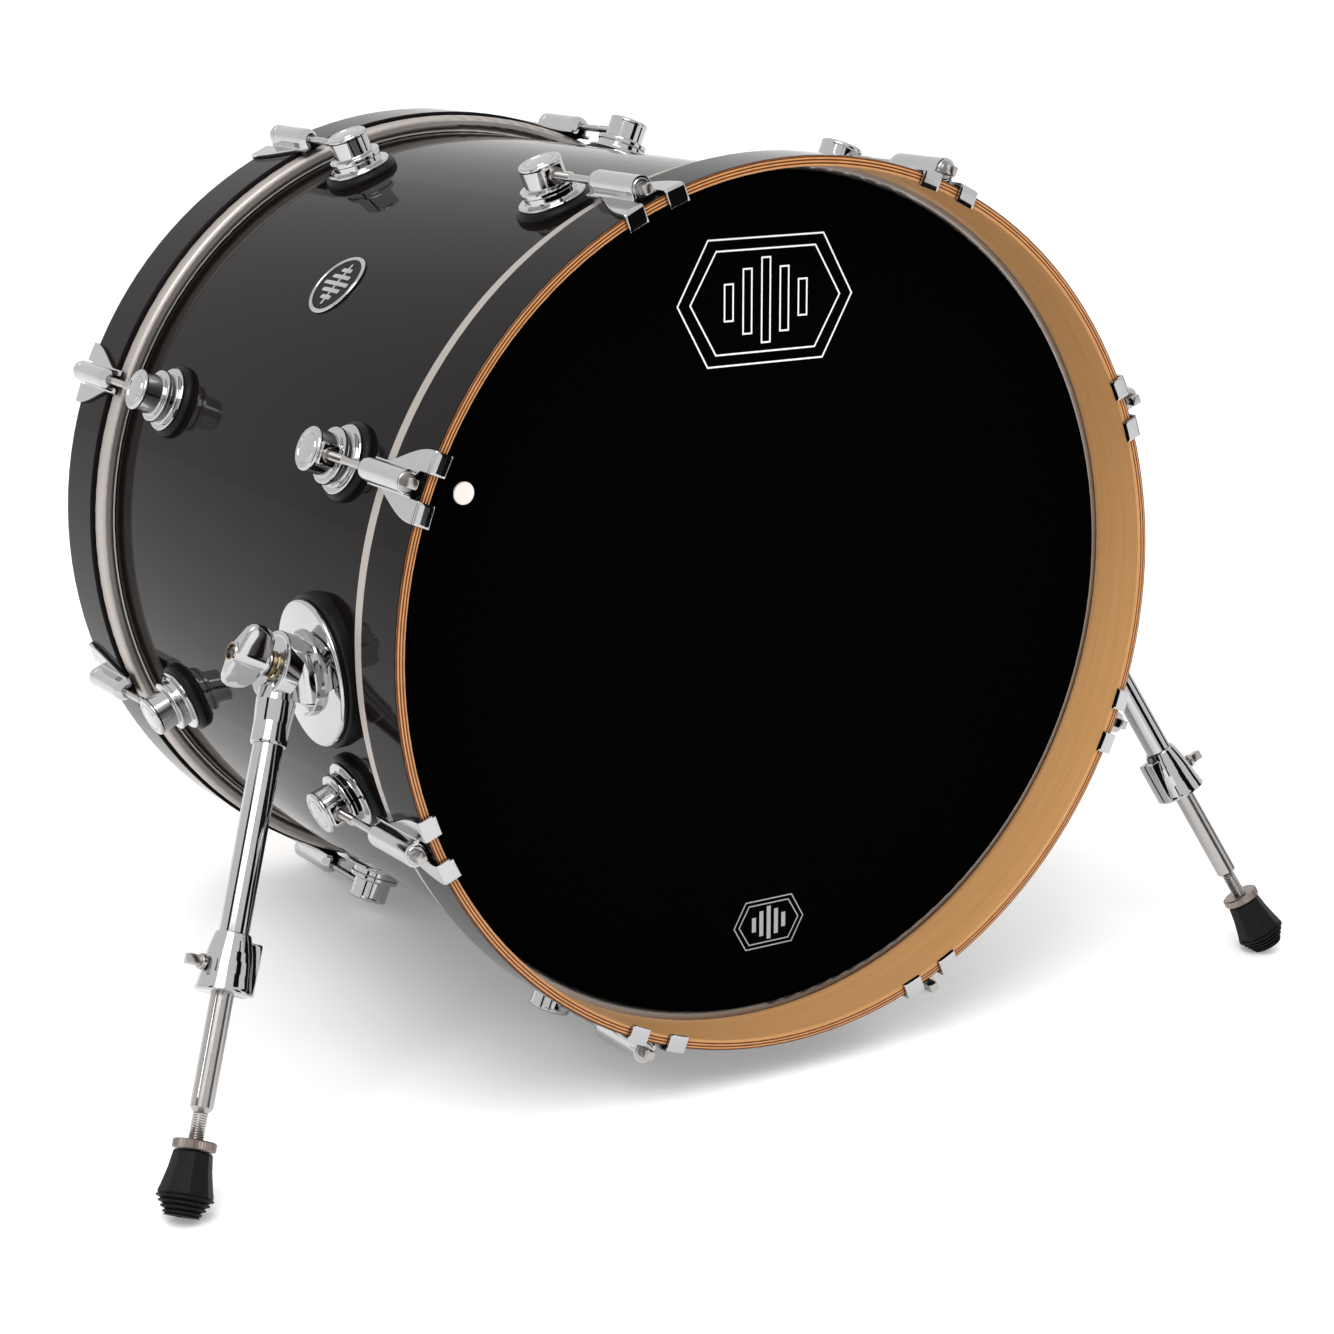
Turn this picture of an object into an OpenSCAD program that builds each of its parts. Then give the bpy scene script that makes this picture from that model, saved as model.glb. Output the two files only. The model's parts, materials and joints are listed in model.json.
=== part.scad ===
// Bass drum on two folding spurs, 22 x 18 inch class, eight lugs a side.
// Millimetres. Seen from the front, +X is to the right. +Y runs from the front head to the batter
// head and +Z is up. The origin is on the floor under the middle of the drum.

/* [Drum] */
// Outer diameter of the shell
shell_d = 558.8; // [500:0.1:600]
// Thickness of the shell wall
shell_wall = 7; // [6:0.5:9]
// Distance from one head to the other
shell_depth = 445; // [400:1:480]
// Distance over both wooden hoops
drum_length = 525.8; // [500:0.1:560]
// How far the front is raised, in degrees
front_lift = 2.83; // [0:0.01:6]
// Lugs on each side of the shell
lug_count = 8; // [8:2:8]

/* [Hoops and heads] */
// Outer diameter of a wooden hoop
hoop_d = 588; // [586:0.5:590]
// Wall of a wooden hoop
hoop_wall = 7; // [6:0.1:7.5]
// Width of a wooden hoop
hoop_width = 46; // [44:0.5:48]
// Outer diameter of a flesh hoop
flesh_d = 583; // [580:0.5:584]
// Width of a flesh hoop along the drum
flesh_width = 15; // [14:0.5:16]
// Thickness of a head film
film = 0.5; // [0.4:0.05:0.8]

/* [Lugs and tension rods] */
// Distance of a lug's centre from the drum's middle
lug_y = 136.9; // [130:0.1:140]
// Diameter of a lug's drum-shaped body
lug_d = 28.4; // [27:0.1:30]
// Height of a lug above the shell
lug_h = 31.6; // [30:0.1:33]
// Diameter of a lug's rubber gasket
lug_gasket_d = 52; // [50:0.5:54]
// Distance of a tension rod from the drum's axis
rod_r = 302; // [301.5:0.1:302.5]
// Diameter of a tension rod's thread
rod_d = 5.8; // [5.4:0.1:6]
// Width across the flats of a drum key square
key_square = 6.35; // [6:0.05:6.5]

/* [Claws] */
// Width of a claw over both hooks
claw_width = 45.6; // [44:0.1:47]
// Width of the gap between a claw's hooks
claw_gap = 17.4; // [16:0.1:18]
// Thickness of a claw's sheet
claw_sheet = 2.2; // [2:0.1:2.4]
// Length of a claw's wings along the drum
claw_wing = 51; // [48:1:53]

/* [Spurs] */
// Angle by which a spur's plane leans outwards
spur_splay = 23.8; // [20:0.1:26]
// Angle by which a spur leans forwards
spur_rake = 19.3; // [16:0.1:22]
// Diameter of the outer leg tube
tube_d = 19; // [18.5:0.1:20]
// Diameter of the sliding rod
leg_rod_d = 14.4; // [14:0.1:14.8]
// Distance from the pivot to the memory clamp
clamp_start = 170.5; // [165:0.5:176]
// Distance from the pivot to the sliding rod's shoulder
rod_end = 280.5; // [277:0.5:283]
// Length of the wing nut
wing_length = 26; // [25:0.5:28]

/* [Hidden] */
SIDES = ["left", "right"];
$fn = 96;

gap = 0.05;              // clearance between fixed neighbours
fit = 0.1;               // radial clearance of a running fit
huge = 1200;             // larger than the drum
round_fn = 360;          // fragments of the large rounds about the drum's axis

shell_r = shell_d / 2;
hoop_r = hoop_d / 2;
half = drum_length / 2;
hoop_round = 1.5;        // rounding of a wooden hoop's edges
edge_r = shell_r - 3;    // radius of the bearing edge
edge_y = shell_depth / 2;
edge_cut = 4;            // depth of the bearing edge's 45 degree cut
flesh_r = flesh_d / 2;
flesh_wall = 10;
flesh_y = half - hoop_width;   // where a flesh hoop meets its wooden hoop
flesh_slot = 3;          // depth of the slot that holds the head's rim
collar_r = shell_r + 0.6;
eyelet = [-224.2, 97.8]; // pale disc on the front head, across and up from its middle
eyelet_r = 7.2;
badge_r = 24.5;
badge_angle = 134.5;

step = 360 / lug_count;
first_lug = step / 2;
gasket_h = 5;            // lug gasket, above the shell
screw_r = 3;             // lug screws and spur bolts
screw_hole = 3.3;

pad = 0.8;               // thickness of a claw's liner
claw_in = hoop_r + pad + 2 * gap;
claw_out = claw_in + claw_sheet;
lip_in = hoop_r - 9;     // how far a hook reaches over the hoop's edge
lip_y = half + pad + 2 * gap;
barrel_r = 7.6;
barrel_front = half - 8;
barrel_rear = half - 63;
key_seat = 2.6;          // depth of the seat for a rod's head
key_seat_r = 6.8;
rod_hole = rod_d / 2 + 0.5;
washer_t = 1;
rod_start = lug_y - 6;   // a rod's inner end
thread_length = 42;
head_at = barrel_front - key_seat + washer_t + 0.3 - rod_start;  // a rod's head, from its end
key_length = 8;

lift_height = hoop_round + cos(front_lift) * (hoop_r - hoop_round)
    + sin(front_lift) * (half - hoop_round);

pivot = [309.8, -139, -18.2];  // spur pivot, in the drum's own frame
pivot_r = 4.5;
plate_tilt = 5.2;        // angle of a spur plate below the drum's middle
plate_y = -134;
plate_flat = shell_r + 6;      // distance of a plate's back from the axis
plate_size = [90, 96];
plate_gasket = [98, 108];
plate_t = 5;
plate_bolts = [[-14, -30], [14, -30], [0, 34]];
knuckle_r = 22;
knuckle_in = -3;
knuckle_out = 9;
socket_r = 11.6;
socket_end = 51;
tube_r = tube_d / 2;
leg_rod_r = leg_rod_d / 2;
tube_end = clamp_start + 25;
clamp_h = 37;
clamp_screw_at = clamp_start + 21;
thread_r = 4.9;
lock_at = 297.5;           // lock nut's upper face, from the pivot
lock_t = 6;
lock_r = 13.5;
foot_at = lock_at + lock_t + 0.5;
foot_end = 343.1;
foot_ribs = 4;
spike_end = 335.5;

// ---- frames -------------------------------------------------------------------------------

// The drum's own frame: axis along Y, middle of the drum at the origin.
module drum() translate([0, 0, lift_height]) rotate([-front_lift, 0, 0]) children();

// Turns a shape made about Z so that it lies about the drum's axis.
module about_axis() rotate([-90, 0, 0]) children();

// Local frame of lug i: X outwards, Y along the drum, Z around it.
module at_lug(i) rotate([0, -first_lug - step * i, 0]) children();

module each_lug() for (i = [0:lug_count - 1]) at_lug(i) children();

// Shapes are drawn for the rear end (positive Y); the front end is their mirror image.
module rear_end() children();
module front_end() mirror([0, 1, 0]) children();
module both_ends() { rear_end() children(); front_end() children(); }

// Turns a shape made about Z so that it points outwards along X.
module outwards() rotate([0, 90, 0]) children();

// Local frame of the right spur's pivot: X along the pivot pin, outwards.
module at_pivot() translate(pivot) rotate([0, -spur_splay, 0]) children();

// Local frame of the right leg: Z runs down the leg from the pivot.
module along_leg() at_pivot() rotate([-spur_rake, 0, 0]) mirror([0, 0, 1]) children();

// Local frame of the right spur plate: X outwards from the shell.
module at_plate() rotate([0, plate_tilt, 0]) translate([0, plate_y, 0]) children();

// ---- helpers ------------------------------------------------------------------------------

// A rounded rectangle with exact arcs, from (x0, y0) to (x1, y1).
module soft_box(x0, y0, x1, y1, c) {
    translate([x0 + c, y0]) square([x1 - x0 - 2 * c, y1 - y0]);
    translate([x0, y0 + c]) square([x1 - x0, y1 - y0 - 2 * c]);
    for (x = [x0 + c, x1 - c], y = [y0 + c, y1 - c]) translate([x, y]) circle(c);
}

// A ring about the drum's axis between two radii and two stations.
module band(r0, r1, y0, y1)
    about_axis() translate([0, 0, y0]) difference() {
        cylinder(r = r1, h = y1 - y0, $fn = round_fn);
        translate([0, 0, -1]) cylinder(r = r0, h = y1 - y0 + 2, $fn = round_fn);
    }

// The space inside a radius about the drum's axis.
module core(r) about_axis() cylinder(r = r, h = huge, center = true, $fn = round_fn);

// An upright oval of four arcs, with half axes a and b.
module oval(a, b) {
    end_r = 1.07 * a * a / b;
    end_at = b - end_r;
    side_at = (pow(end_at, 2) - pow(a - end_r, 2)) / (2 * (a - end_r));
    side_r = a + side_at;
    join = side_r * end_at / (side_r - end_r);
    intersection() {
        translate([-side_at, 0]) circle(side_r);
        translate([side_at, 0]) circle(side_r);
        square([2 * a + 2, 2 * join], center = true);
    }
    for (s = [-1, 1]) translate([0, s * end_at]) circle(end_r);
}

// An oval prism on X, size[0] long along Y and size[1] along Z.
module oval_pad(size, x0, x1)
    translate([x0, 0, 0]) rotate([90, 0, 90]) linear_extrude(x1 - x0)
        oval(size[0] / 2, size[1] / 2);

// A square drum-key head on Z with a chamfered end.
module key_head(h) {
    translate([-key_square / 2, -key_square / 2, 0]) cube([key_square, key_square, h - 0.8]);
    intersection() {
        translate([-key_square / 2, -key_square / 2, h - 0.9]) cube([key_square, key_square, 0.9]);
        translate([0, 0, h - 0.9]) cylinder(r1 = key_square * 0.68, r2 = key_square * 0.5, h = 0.9);
    }
}

// ---- shell, heads and hoops ---------------------------------------------------------------

module shell()
    drum() color("#1d1b1c") difference() {
        about_axis() rotate_extrude() polygon([
            [shell_r - shell_wall, edge_cut - edge_y],
            [edge_r, -edge_y],
            [shell_r, 2 - edge_y],
            [shell_r, edge_y - 2],
            [edge_r, edge_y],
            [shell_r - shell_wall, edge_y - edge_cut]]);
        both_ends() each_lug() translate([shell_r - 15, lug_y, 0]) outwards()
            cylinder(r = screw_hole, h = 30);
        for (s = [0, 1]) mirror([s, 0, 0]) at_plate() for (b = plate_bolts)
            translate([shell_r - 20, b[0], b[1]]) outwards() cylinder(r = screw_hole, h = 30);
    }

module badge()
    drum() color("silver") rotate([0, -badge_angle, 0]) intersection() {
        translate([shell_r - 5, 0, 0]) outwards() cylinder(r = badge_r, h = 12);
        band(shell_r + gap, shell_r + 2, -badge_r - 1, badge_r + 1);
    }

module head_eyelet()
    drum() color("#e8ddd6") translate([eyelet[0], -edge_y - film - 2 * gap, eyelet[1]])
        rotate([90, 0, 0]) {
            cylinder(r = eyelet_r, h = 0.8);
            cylinder(r = eyelet_r - 0.8, h = 1.1);
        }

module head_shape() about_axis() rotate_extrude() polygon([
        [0, edge_y + gap],
        [edge_r, edge_y + gap],
        [shell_r + 0.3, edge_y - 2 + gap],
        [collar_r, edge_y - 3],
        [collar_r, flesh_y - 11],
        [flesh_r - flesh_wall + flesh_slot - gap, flesh_y - 11],
        [flesh_r - flesh_wall + flesh_slot - gap, flesh_y - 10],
        [collar_r + film, flesh_y - 10],
        [collar_r + film, edge_y - 2.6],
        [shell_r + 0.7, edge_y - 1.3],
        [edge_r + 0.4, edge_y + gap + film],
        [0, edge_y + gap + film]]);

module front_head() drum() color("#060606") front_end() head_shape();
module rear_head() drum() color("#e9e7e2") rear_end() head_shape();

module flesh_hoop_shape() about_axis() rotate_extrude() difference() {
        soft_box(flesh_r - flesh_wall, flesh_y - flesh_width, flesh_r, flesh_y - gap, 3.5);
        translate([flesh_r - flesh_wall - 1, flesh_y - 11 - gap])
            square([flesh_slot + 1, 1 + 2 * gap]);
    }

module front_flesh_hoop() drum() color("#cfc6c0") front_end() flesh_hoop_shape();
module rear_flesh_hoop() drum() color("#cfc6c0") rear_end() flesh_hoop_shape();

module hoop_shape() about_axis() rotate_extrude()
        soft_box(hoop_r - hoop_wall, flesh_y, hoop_r, half, hoop_round);

module front_hoop() drum() color("#2a2320") front_end() hoop_shape();
module rear_hoop() drum() color("#2a2320") rear_end() hoop_shape();

// ---- lugs ---------------------------------------------------------------------------------

module lug_shape() translate([0, lug_y, 0]) difference() {
        union() {
            translate([shell_r, 0, 0]) outwards() rotate_extrude() polygon([
                [0, gasket_h + gap], [22.4, gasket_h + gap], [22.8, 6], [22.2, 7.2], [20, 7.6],
                [18.6, 9], [17.2, 12.6], [17.9, 13.2], [17.9, 14.4], [15.6, 15], [14.2, 15.6],
                [lug_d / 2, lug_h - 2], [lug_d / 2 + 0.3, lug_h - 1.2], [13.4, lug_h - 0.2],
                [12.6, lug_h], [0, lug_h]]);
            translate([shell_r + 15.2, 0, -8.5]) cube([15, 15.2, 17]);
        }
        translate([shell_r + 17.2, 4, -6.3]) cube([11, 20, 12.6]);
        translate([rod_r, -9, 0]) rotate([-90, 0, 0]) cylinder(r = 5.6, h = 30);
        translate([shell_r, 0, 0]) outwards() cylinder(r = screw_r + gap, h = 16);
    }

module front_lugs() drum() color("#d9d9db") front_end() each_lug() lug_shape();
module rear_lugs() drum() color("#d9d9db") rear_end() each_lug() lug_shape();

module lug_gaskets()
    drum() color("#141414") difference() {
        both_ends() each_lug() translate([shell_r - 4, lug_y, 0]) outwards() {
            cylinder(r = lug_gasket_d / 2, h = 6);
            translate([0, 0, 6])
                cylinder(r1 = lug_gasket_d / 2, r2 = lug_gasket_d / 2 - 2.6, h = gasket_h - 2);
        }
        core(shell_r + gap);
        both_ends() each_lug() translate([shell_r - 5, lug_y, 0]) outwards()
            cylinder(r = screw_hole, h = 30);
    }

module lug_nuts()
    drum() color("#b9b6b2") both_ends() each_lug() translate([rod_r, lug_y - 8.5, 0])
        rotate([-90, 0, 0]) difference() {
            union() {
                cylinder(r = 5.5, h = 25);
                translate([0, 0, 22]) cylinder(r1 = 5.5, r2 = 4.9, h = 4.5);
            }
            translate([0, 0, -1]) cylinder(r = rod_d / 2 + fit, h = 30);
        }

module lug_screws()
    drum() color("#8f8f92") both_ends() each_lug() translate([shell_r - shell_wall, lug_y, 0])
        outwards() {
            translate([0, 0, -6.2]) cylinder(r = 5.6, h = 4.2);
            translate([0, 0, -2]) cylinder(r = 9, h = 1.5);
            translate([0, 0, -2]) cylinder(r = screw_r, h = 20);
        }

// ---- claws and tension rods ---------------------------------------------------------------

// Half width of a claw's wing at a distance u behind the hoop's front edge.
function wing_half(u) =
    barrel_r + (claw_width / 2 - barrel_r) * pow(cos(90 * u / claw_wing), 1.4);

function wing_side(sign, n = 12) =
    [for (i = [0:n]) let(u = claw_wing * i / n) [half - u, sign * wing_half(u)]];

function reversed(list) = [for (i = [len(list) - 1:-1:0]) list[i]];

// The bell-shaped outline of a claw, seen from outside, as points (along the drum, across it).
function claw_outline() = concat(
    [[lip_y + claw_sheet, claw_width / 2]],
    wing_side(1),
    reversed(wing_side(-1)),
    [[lip_y + claw_sheet, -claw_width / 2],
     [lip_y + claw_sheet, -claw_gap / 2],
     [barrel_front - 1, -claw_gap / 2],
     [barrel_front - 1, claw_gap / 2],
     [lip_y + claw_sheet, claw_gap / 2]]);

module outline_prism(x0, x1) translate([x0, 0, 0]) rotate([90, 0, 90])
    linear_extrude(x1 - x0) polygon(claw_outline());

module claw_shape() {
    difference() {
        union() {
            intersection() {
                outline_prism(claw_in - 20, claw_out + 4);
                band(claw_in, claw_out, half - claw_wing, lip_y + claw_sheet);
            }
            translate([rod_r, barrel_rear, 0]) rotate([-90, 0, 0])
                cylinder(r = barrel_r, h = barrel_front - barrel_rear);
            translate([claw_in - 1, barrel_rear + 2, -barrel_r])
                cube([rod_r - claw_in + 1, barrel_front - barrel_rear - 2, 2 * barrel_r]);
        }
        core(claw_in);
        translate([rod_r, barrel_rear - 1, 0]) rotate([-90, 0, 0])
            cylinder(r = rod_hole, h = barrel_front - barrel_rear + 2);
        translate([rod_r, barrel_front - key_seat, 0]) rotate([-90, 0, 0])
            cylinder(r = key_seat_r, h = key_seat + 1);
    }
    for (side = [-1, 1]) intersection() {
        translate([lip_in, lip_y, side > 0 ? claw_gap / 2 : -claw_width / 2])
            cube([claw_out - lip_in + 1, claw_sheet, (claw_width - claw_gap) / 2]);
        band(lip_in, claw_out, lip_y, lip_y + claw_sheet);
    }
}

module front_claws() drum() color("#d9d9db") front_end() each_lug() claw_shape();
module rear_claws() drum() color("#d9d9db") rear_end() each_lug() claw_shape();

module claw_pad_shape() {
    intersection() {
        outline_prism(hoop_r - 20, hoop_r + pad + 4);
        band(hoop_r + gap, hoop_r + gap + pad, half - claw_wing + 2, half + gap + pad);
    }
    for (side = [-1, 1]) intersection() {
        translate([lip_in + 0.6, half + gap, side > 0 ? claw_gap / 2 : -claw_width / 2])
            cube([hoop_r - lip_in + 2, pad, (claw_width - claw_gap) / 2]);
        band(lip_in + 0.6, hoop_r + gap + pad, half, half + 2 * pad);
    }
}

module claw_pads() drum() color("#101010") both_ends() each_lug() claw_pad_shape();

module rod_washers()
    drum() color("#1a1a1a") both_ends() each_lug()
        translate([rod_r, barrel_front - key_seat + gap, 0]) rotate([-90, 0, 0]) difference() {
            cylinder(r = 6.6, h = washer_t);
            translate([0, 0, -1]) cylinder(r = rod_hole, h = washer_t + 2);
        }

module rod_shape() translate([rod_r, rod_start, 0]) rotate([-90, 0, 0]) {
        cylinder(r = rod_d / 2, h = thread_length);
        translate([0, 0, thread_length - 0.5])
            cylinder(r = rod_d / 2 - 0.35, h = head_at - thread_length + 1);
        translate([0, 0, head_at]) cylinder(r = 6.3, h = 2.2);
        translate([0, 0, head_at + 2.1]) key_head(key_length);
    }

module front_rod(i) drum() color("#c8c5c2") front_end() at_lug(i - 1) rod_shape();
module rear_rod(i) drum() color("#c8c5c2") rear_end() at_lug(i - 1) rod_shape();

// ---- spur mountings -----------------------------------------------------------------------

module spur_gaskets()
    drum() color("#141414") difference() {
        for (s = [0, 1]) mirror([s, 0, 0]) at_plate()
            oval_pad(plate_gasket, shell_r - 12, plate_flat - gap);
        core(shell_r + gap);
        for (s = [0, 1]) mirror([s, 0, 0]) at_plate() for (b = plate_bolts)
            translate([shell_r - 20, b[0], b[1]]) outwards() cylinder(r = screw_hole, h = 40);
    }

module spur_backing_plates()
    drum() color("#9a9a9c") for (s = [0, 1]) mirror([s, 0, 0]) difference() {
        intersection() {
            at_plate() oval_pad(plate_size, shell_r - 30, shell_r);
            band(shell_r - shell_wall - 2.1, shell_r - shell_wall - gap, -edge_y, edge_y);
        }
        at_plate() for (b = plate_bolts)
            translate([shell_r - 40, b[0], b[1]]) outwards() cylinder(r = screw_hole, h = 60);
    }

module spur_bolts()
    drum() color("#8f8f92") for (s = [0, 1]) mirror([s, 0, 0]) at_plate() for (b = plate_bolts)
        translate([sqrt(pow(shell_r - shell_wall, 2) - pow(b[1], 2)) - 9, b[0], b[1]])
            outwards() {
                cylinder(r = 5.6, h = 5);
                cylinder(r = screw_r, h = 26);
            }

// The casting on the shell, with the fixed face of the pivot and its threaded pin.
module bracket_shape() {
    difference() {
        union() {
            at_plate() {
                oval_pad(plate_size, plate_flat, plate_flat + plate_t - 1.6);
                oval_pad(plate_size - [5, 5], plate_flat, plate_flat + plate_t);
            }
            difference() {
                at_pivot() outwards() {
                    translate([0, 0, -46]) cylinder(r = 14, h = 36);
                    translate([0, 0, -18]) cylinder(r1 = 14, r2 = 20, h = 6);
                    translate([0, 0, -12]) cylinder(r = 20, h = 12 + knuckle_in - 0.3);
                }
                at_plate() translate([plate_flat - 200, -100, -150]) cube([201, 200, 300]);
            }
        }
        at_plate() for (b = plate_bolts) translate([plate_flat - 1, b[0], b[1]]) outwards()
            cylinder(r = screw_r + gap, h = 4.4);
    }
    at_pivot() outwards() translate([0, 0, -14])
        cylinder(r = pivot_r, h = 14 + knuckle_out + 3 + wing_length - 3);
}

// ---- spur legs ----------------------------------------------------------------------------

module knuckle_shape() difference() {
        union() {
            at_pivot() outwards() {
                translate([0, 0, knuckle_in]) cylinder(r = knuckle_r, h = 11);
                translate([0, 0, knuckle_in]) cylinder(r = knuckle_r - 1.2, h = 12);
            }
            along_leg() translate([0, 0, 9.5]) cylinder(r = socket_r, h = socket_end - 9.5);
        }
        at_pivot() outwards() translate([0, 0, -40]) cylinder(r = knuckle_r + 2, h = 40 + knuckle_in);
        at_pivot() outwards() translate([0, 0, -40]) cylinder(r = pivot_r + fit, h = 80);
        along_leg() translate([0, 0, 22]) cylinder(r = tube_r + gap, h = 60);
    }

module tube_shape() along_leg() translate([0, 0, 22.5]) difference() {
        cylinder(r = tube_r, h = tube_end - 22.5);
        translate([0, 0, -1]) cylinder(r = leg_rod_r + fit, h = tube_end);
    }

module wing_washer_shape() at_pivot() outwards() translate([0, 0, knuckle_out + gap]) difference() {
        cylinder(r = 8.6, h = 2.4);
        translate([0, 0, -1]) cylinder(r = pivot_r + fit, h = 5);
    }

// One wing of the nut, as points (away from the pin, along it).
WING = [[0, 1.5], [9, 1.5], [17, 2.5], [21, 7], [22.8, 13], [22.8, 19], [20, 22.6], [14, 23.6], [6, 25],
    [0, 25]];

module wing_nut_shape() at_pivot() outwards() translate([0, 0, knuckle_out + 3]) difference() {
        union() {
            cylinder(r1 = 9, r2 = 8.4, h = 4);
            cylinder(r1 = 8, r2 = 6.4, h = wing_length);
            for (s = [0, 180]) rotate([90, 0, s + 19]) translate([0, 0, -2.6])
                linear_extrude(5.2) polygon(WING);
        }
        translate([0, 0, -1]) cylinder(r = pivot_r + fit, h = wing_length + 2);
    }

module clamp_shape() along_leg() difference() {
        union() {
            translate([0, 0, clamp_start]) cylinder(r1 = 11.4, r2 = 15, h = 16);
            translate([0, 0, clamp_start + 16]) cylinder(r1 = 15, r2 = 17.6, h = clamp_h - 16);
            translate([-17.4, -8.5, clamp_start + 4]) cube([17.4, 17, clamp_h - 4]);
        }
        translate([0, 0, clamp_start - 1]) cylinder(r = tube_r + gap, h = tube_end - clamp_start + 1.5);
        translate([0, 0, clamp_start]) cylinder(r = leg_rod_r + fit, h = clamp_h + 1);
        translate([-18, -0.9, clamp_start + 3]) cube([10, 1.8, clamp_h]);
        translate([0, 0, clamp_screw_at]) outwards() cylinder(r = 3 + fit, h = 40);
    }

module clamp_screw_shape() along_leg() translate([0, 0, clamp_screw_at]) outwards() {
        translate([0, 0, 11]) cylinder(r = 3, h = 8);
        translate([0, 0, 16.6]) cylinder(r = 5, h = 3);
        translate([0, 0, 19.5]) key_head(9);
    }

module leg_rod_shape() along_leg() {
        difference() {
            translate([0, 0, 90]) cylinder(r = leg_rod_r, h = rod_end - 93);
            rotate([0, 0, -35]) translate([-1, -leg_rod_r - 1, 130]) cube([2, 1.9, rod_end - 138]);
        }
        translate([0, 0, rod_end - 3.01]) cylinder(r1 = leg_rod_r, r2 = thread_r, h = 3.01);
        translate([0, 0, rod_end - 1]) cylinder(r = thread_r, h = 42);
        translate([0, 0, rod_end + 41]) cylinder(r1 = thread_r, r2 = 1, h = spike_end - rod_end - 41);
    }

module lock_nut_shape() along_leg() translate([0, 0, lock_at]) difference() {
        union() {
            translate([0, 0, 0.6]) cylinder(r = lock_r, h = lock_t - 1.2);
            cylinder(r = lock_r - 0.8, h = lock_t);
        }
        translate([0, 0, -1]) cylinder(r = thread_r + fit, h = lock_t + 2);
    }

module foot_shape() difference() {
        along_leg() difference() {
            union() {
                translate([0, 0, foot_at]) rotate([0, 0, 22.5]) cylinder(r = 12, h = 3);
                translate([0, 0, foot_at + 2]) cylinder(r1 = 12, r2 = 16.6, h = 25);
                for (i = [0:foot_ribs - 1]) translate([0, 0, foot_at + 27 + i * 3])
                    cylinder(r = 17.6 - i * 1.9, h = 1.8);
                translate([0, 0, foot_at + 26.9])
                    cylinder(r1 = 16.4, r2 = 11, h = foot_end - foot_at - 26.9);
            }
            translate([0, 0, foot_at - 1]) cylinder(r = thread_r + fit, h = foot_end - foot_at + 2);
        }
        rotate([front_lift, 0, 0]) translate([-huge / 2, -huge / 2, -lift_height - 100])
            cube([huge, huge, 100]);
    }

module sided(side) drum() mirror([side == "left" ? 1 : 0, 0, 0]) children();

module bracket(side) sided(side) color("#d9d9db") bracket_shape();
module knuckle(side) sided(side) color("#d2d0ce") knuckle_shape();
module tube(side) sided(side) color("#e0e0e2") tube_shape();
module wing_nut(side) sided(side) color("#dcdad8") wing_nut_shape();
module wing_washer(side) sided(side) color("#b08a4a") wing_washer_shape();
module clamp(side) sided(side) color("#d9d9db") clamp_shape();
module clamp_screw(side) sided(side) color("#b5aeaa") clamp_screw_shape();
module leg_rod(side) sided(side) color("#c9c9cb") leg_rod_shape();
module lock_nut(side) sided(side) color("#8d827c") lock_nut_shape();
module foot(side) sided(side) color("#17191a") foot_shape();

// ---- nodes --------------------------------------------------------------------------------

shell();
badge();
head_eyelet();
front_head();
rear_head();
front_flesh_hoop();
rear_flesh_hoop();
front_hoop();
rear_hoop();
front_lugs();
rear_lugs();
lug_gaskets();
lug_nuts();
lug_screws();
front_claws();
rear_claws();
claw_pads();
rod_washers();
spur_gaskets();
spur_backing_plates();
spur_bolts();
for (i = [1:lug_count]) {
    front_rod(i);
    rear_rod(i);
}
for (s = SIDES) {
    bracket(s);
    knuckle(s);
    tube(s);
    wing_nut(s);
    wing_washer(s);
    clamp(s);
    clamp_screw(s);
    leg_rod(s);
    lock_nut(s);
    foot(s);
}
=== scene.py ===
import json
import math

import bpy
from bpy.props import FloatProperty, FloatVectorProperty, IntProperty, PointerProperty
from mathutils import Matrix, Vector


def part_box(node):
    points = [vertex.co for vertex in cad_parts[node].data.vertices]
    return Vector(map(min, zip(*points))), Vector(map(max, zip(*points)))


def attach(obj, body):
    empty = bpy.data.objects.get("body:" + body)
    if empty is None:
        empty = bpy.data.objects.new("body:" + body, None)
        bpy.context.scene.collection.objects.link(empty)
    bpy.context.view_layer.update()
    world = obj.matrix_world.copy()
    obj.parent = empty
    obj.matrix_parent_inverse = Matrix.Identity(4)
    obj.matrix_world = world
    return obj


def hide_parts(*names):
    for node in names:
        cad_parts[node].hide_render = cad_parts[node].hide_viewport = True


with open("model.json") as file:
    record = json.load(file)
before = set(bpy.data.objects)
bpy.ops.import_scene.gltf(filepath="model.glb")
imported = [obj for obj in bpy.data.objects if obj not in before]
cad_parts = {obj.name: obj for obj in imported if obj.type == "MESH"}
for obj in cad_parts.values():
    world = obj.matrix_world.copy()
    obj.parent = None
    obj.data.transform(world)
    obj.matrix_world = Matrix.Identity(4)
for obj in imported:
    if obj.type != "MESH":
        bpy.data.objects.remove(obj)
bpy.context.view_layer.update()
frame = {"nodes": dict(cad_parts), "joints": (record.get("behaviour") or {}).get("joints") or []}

bl_info = {
    "name": "Bass Drum",
    "version": (1, 0, 0),
    "blender": (4, 5, 0),
    "location": "View3D > Sidebar > Drum",
    "description": "Builds the finished pieces of a bass drum around its engineering frame",
    "category": "Add Mesh",
}

# ---- places, worked out from the frame --------------------------------------------------------


def middle(node):
    """The middle of a CAD node's box."""
    low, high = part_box(node)
    return (low + high) / 2


def frame_matrix(origin, x, y, z):
    """The 4x4 matrix of a frame with that origin and those axes."""
    turn = Matrix((x, y, z)).transposed()
    return Matrix.Translation(origin) @ turn.to_4x4()


def joint(name):
    """The joint of that name, as the frame gives it."""
    return next(j for j in frame["joints"] if j["name"] == name)


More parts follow.
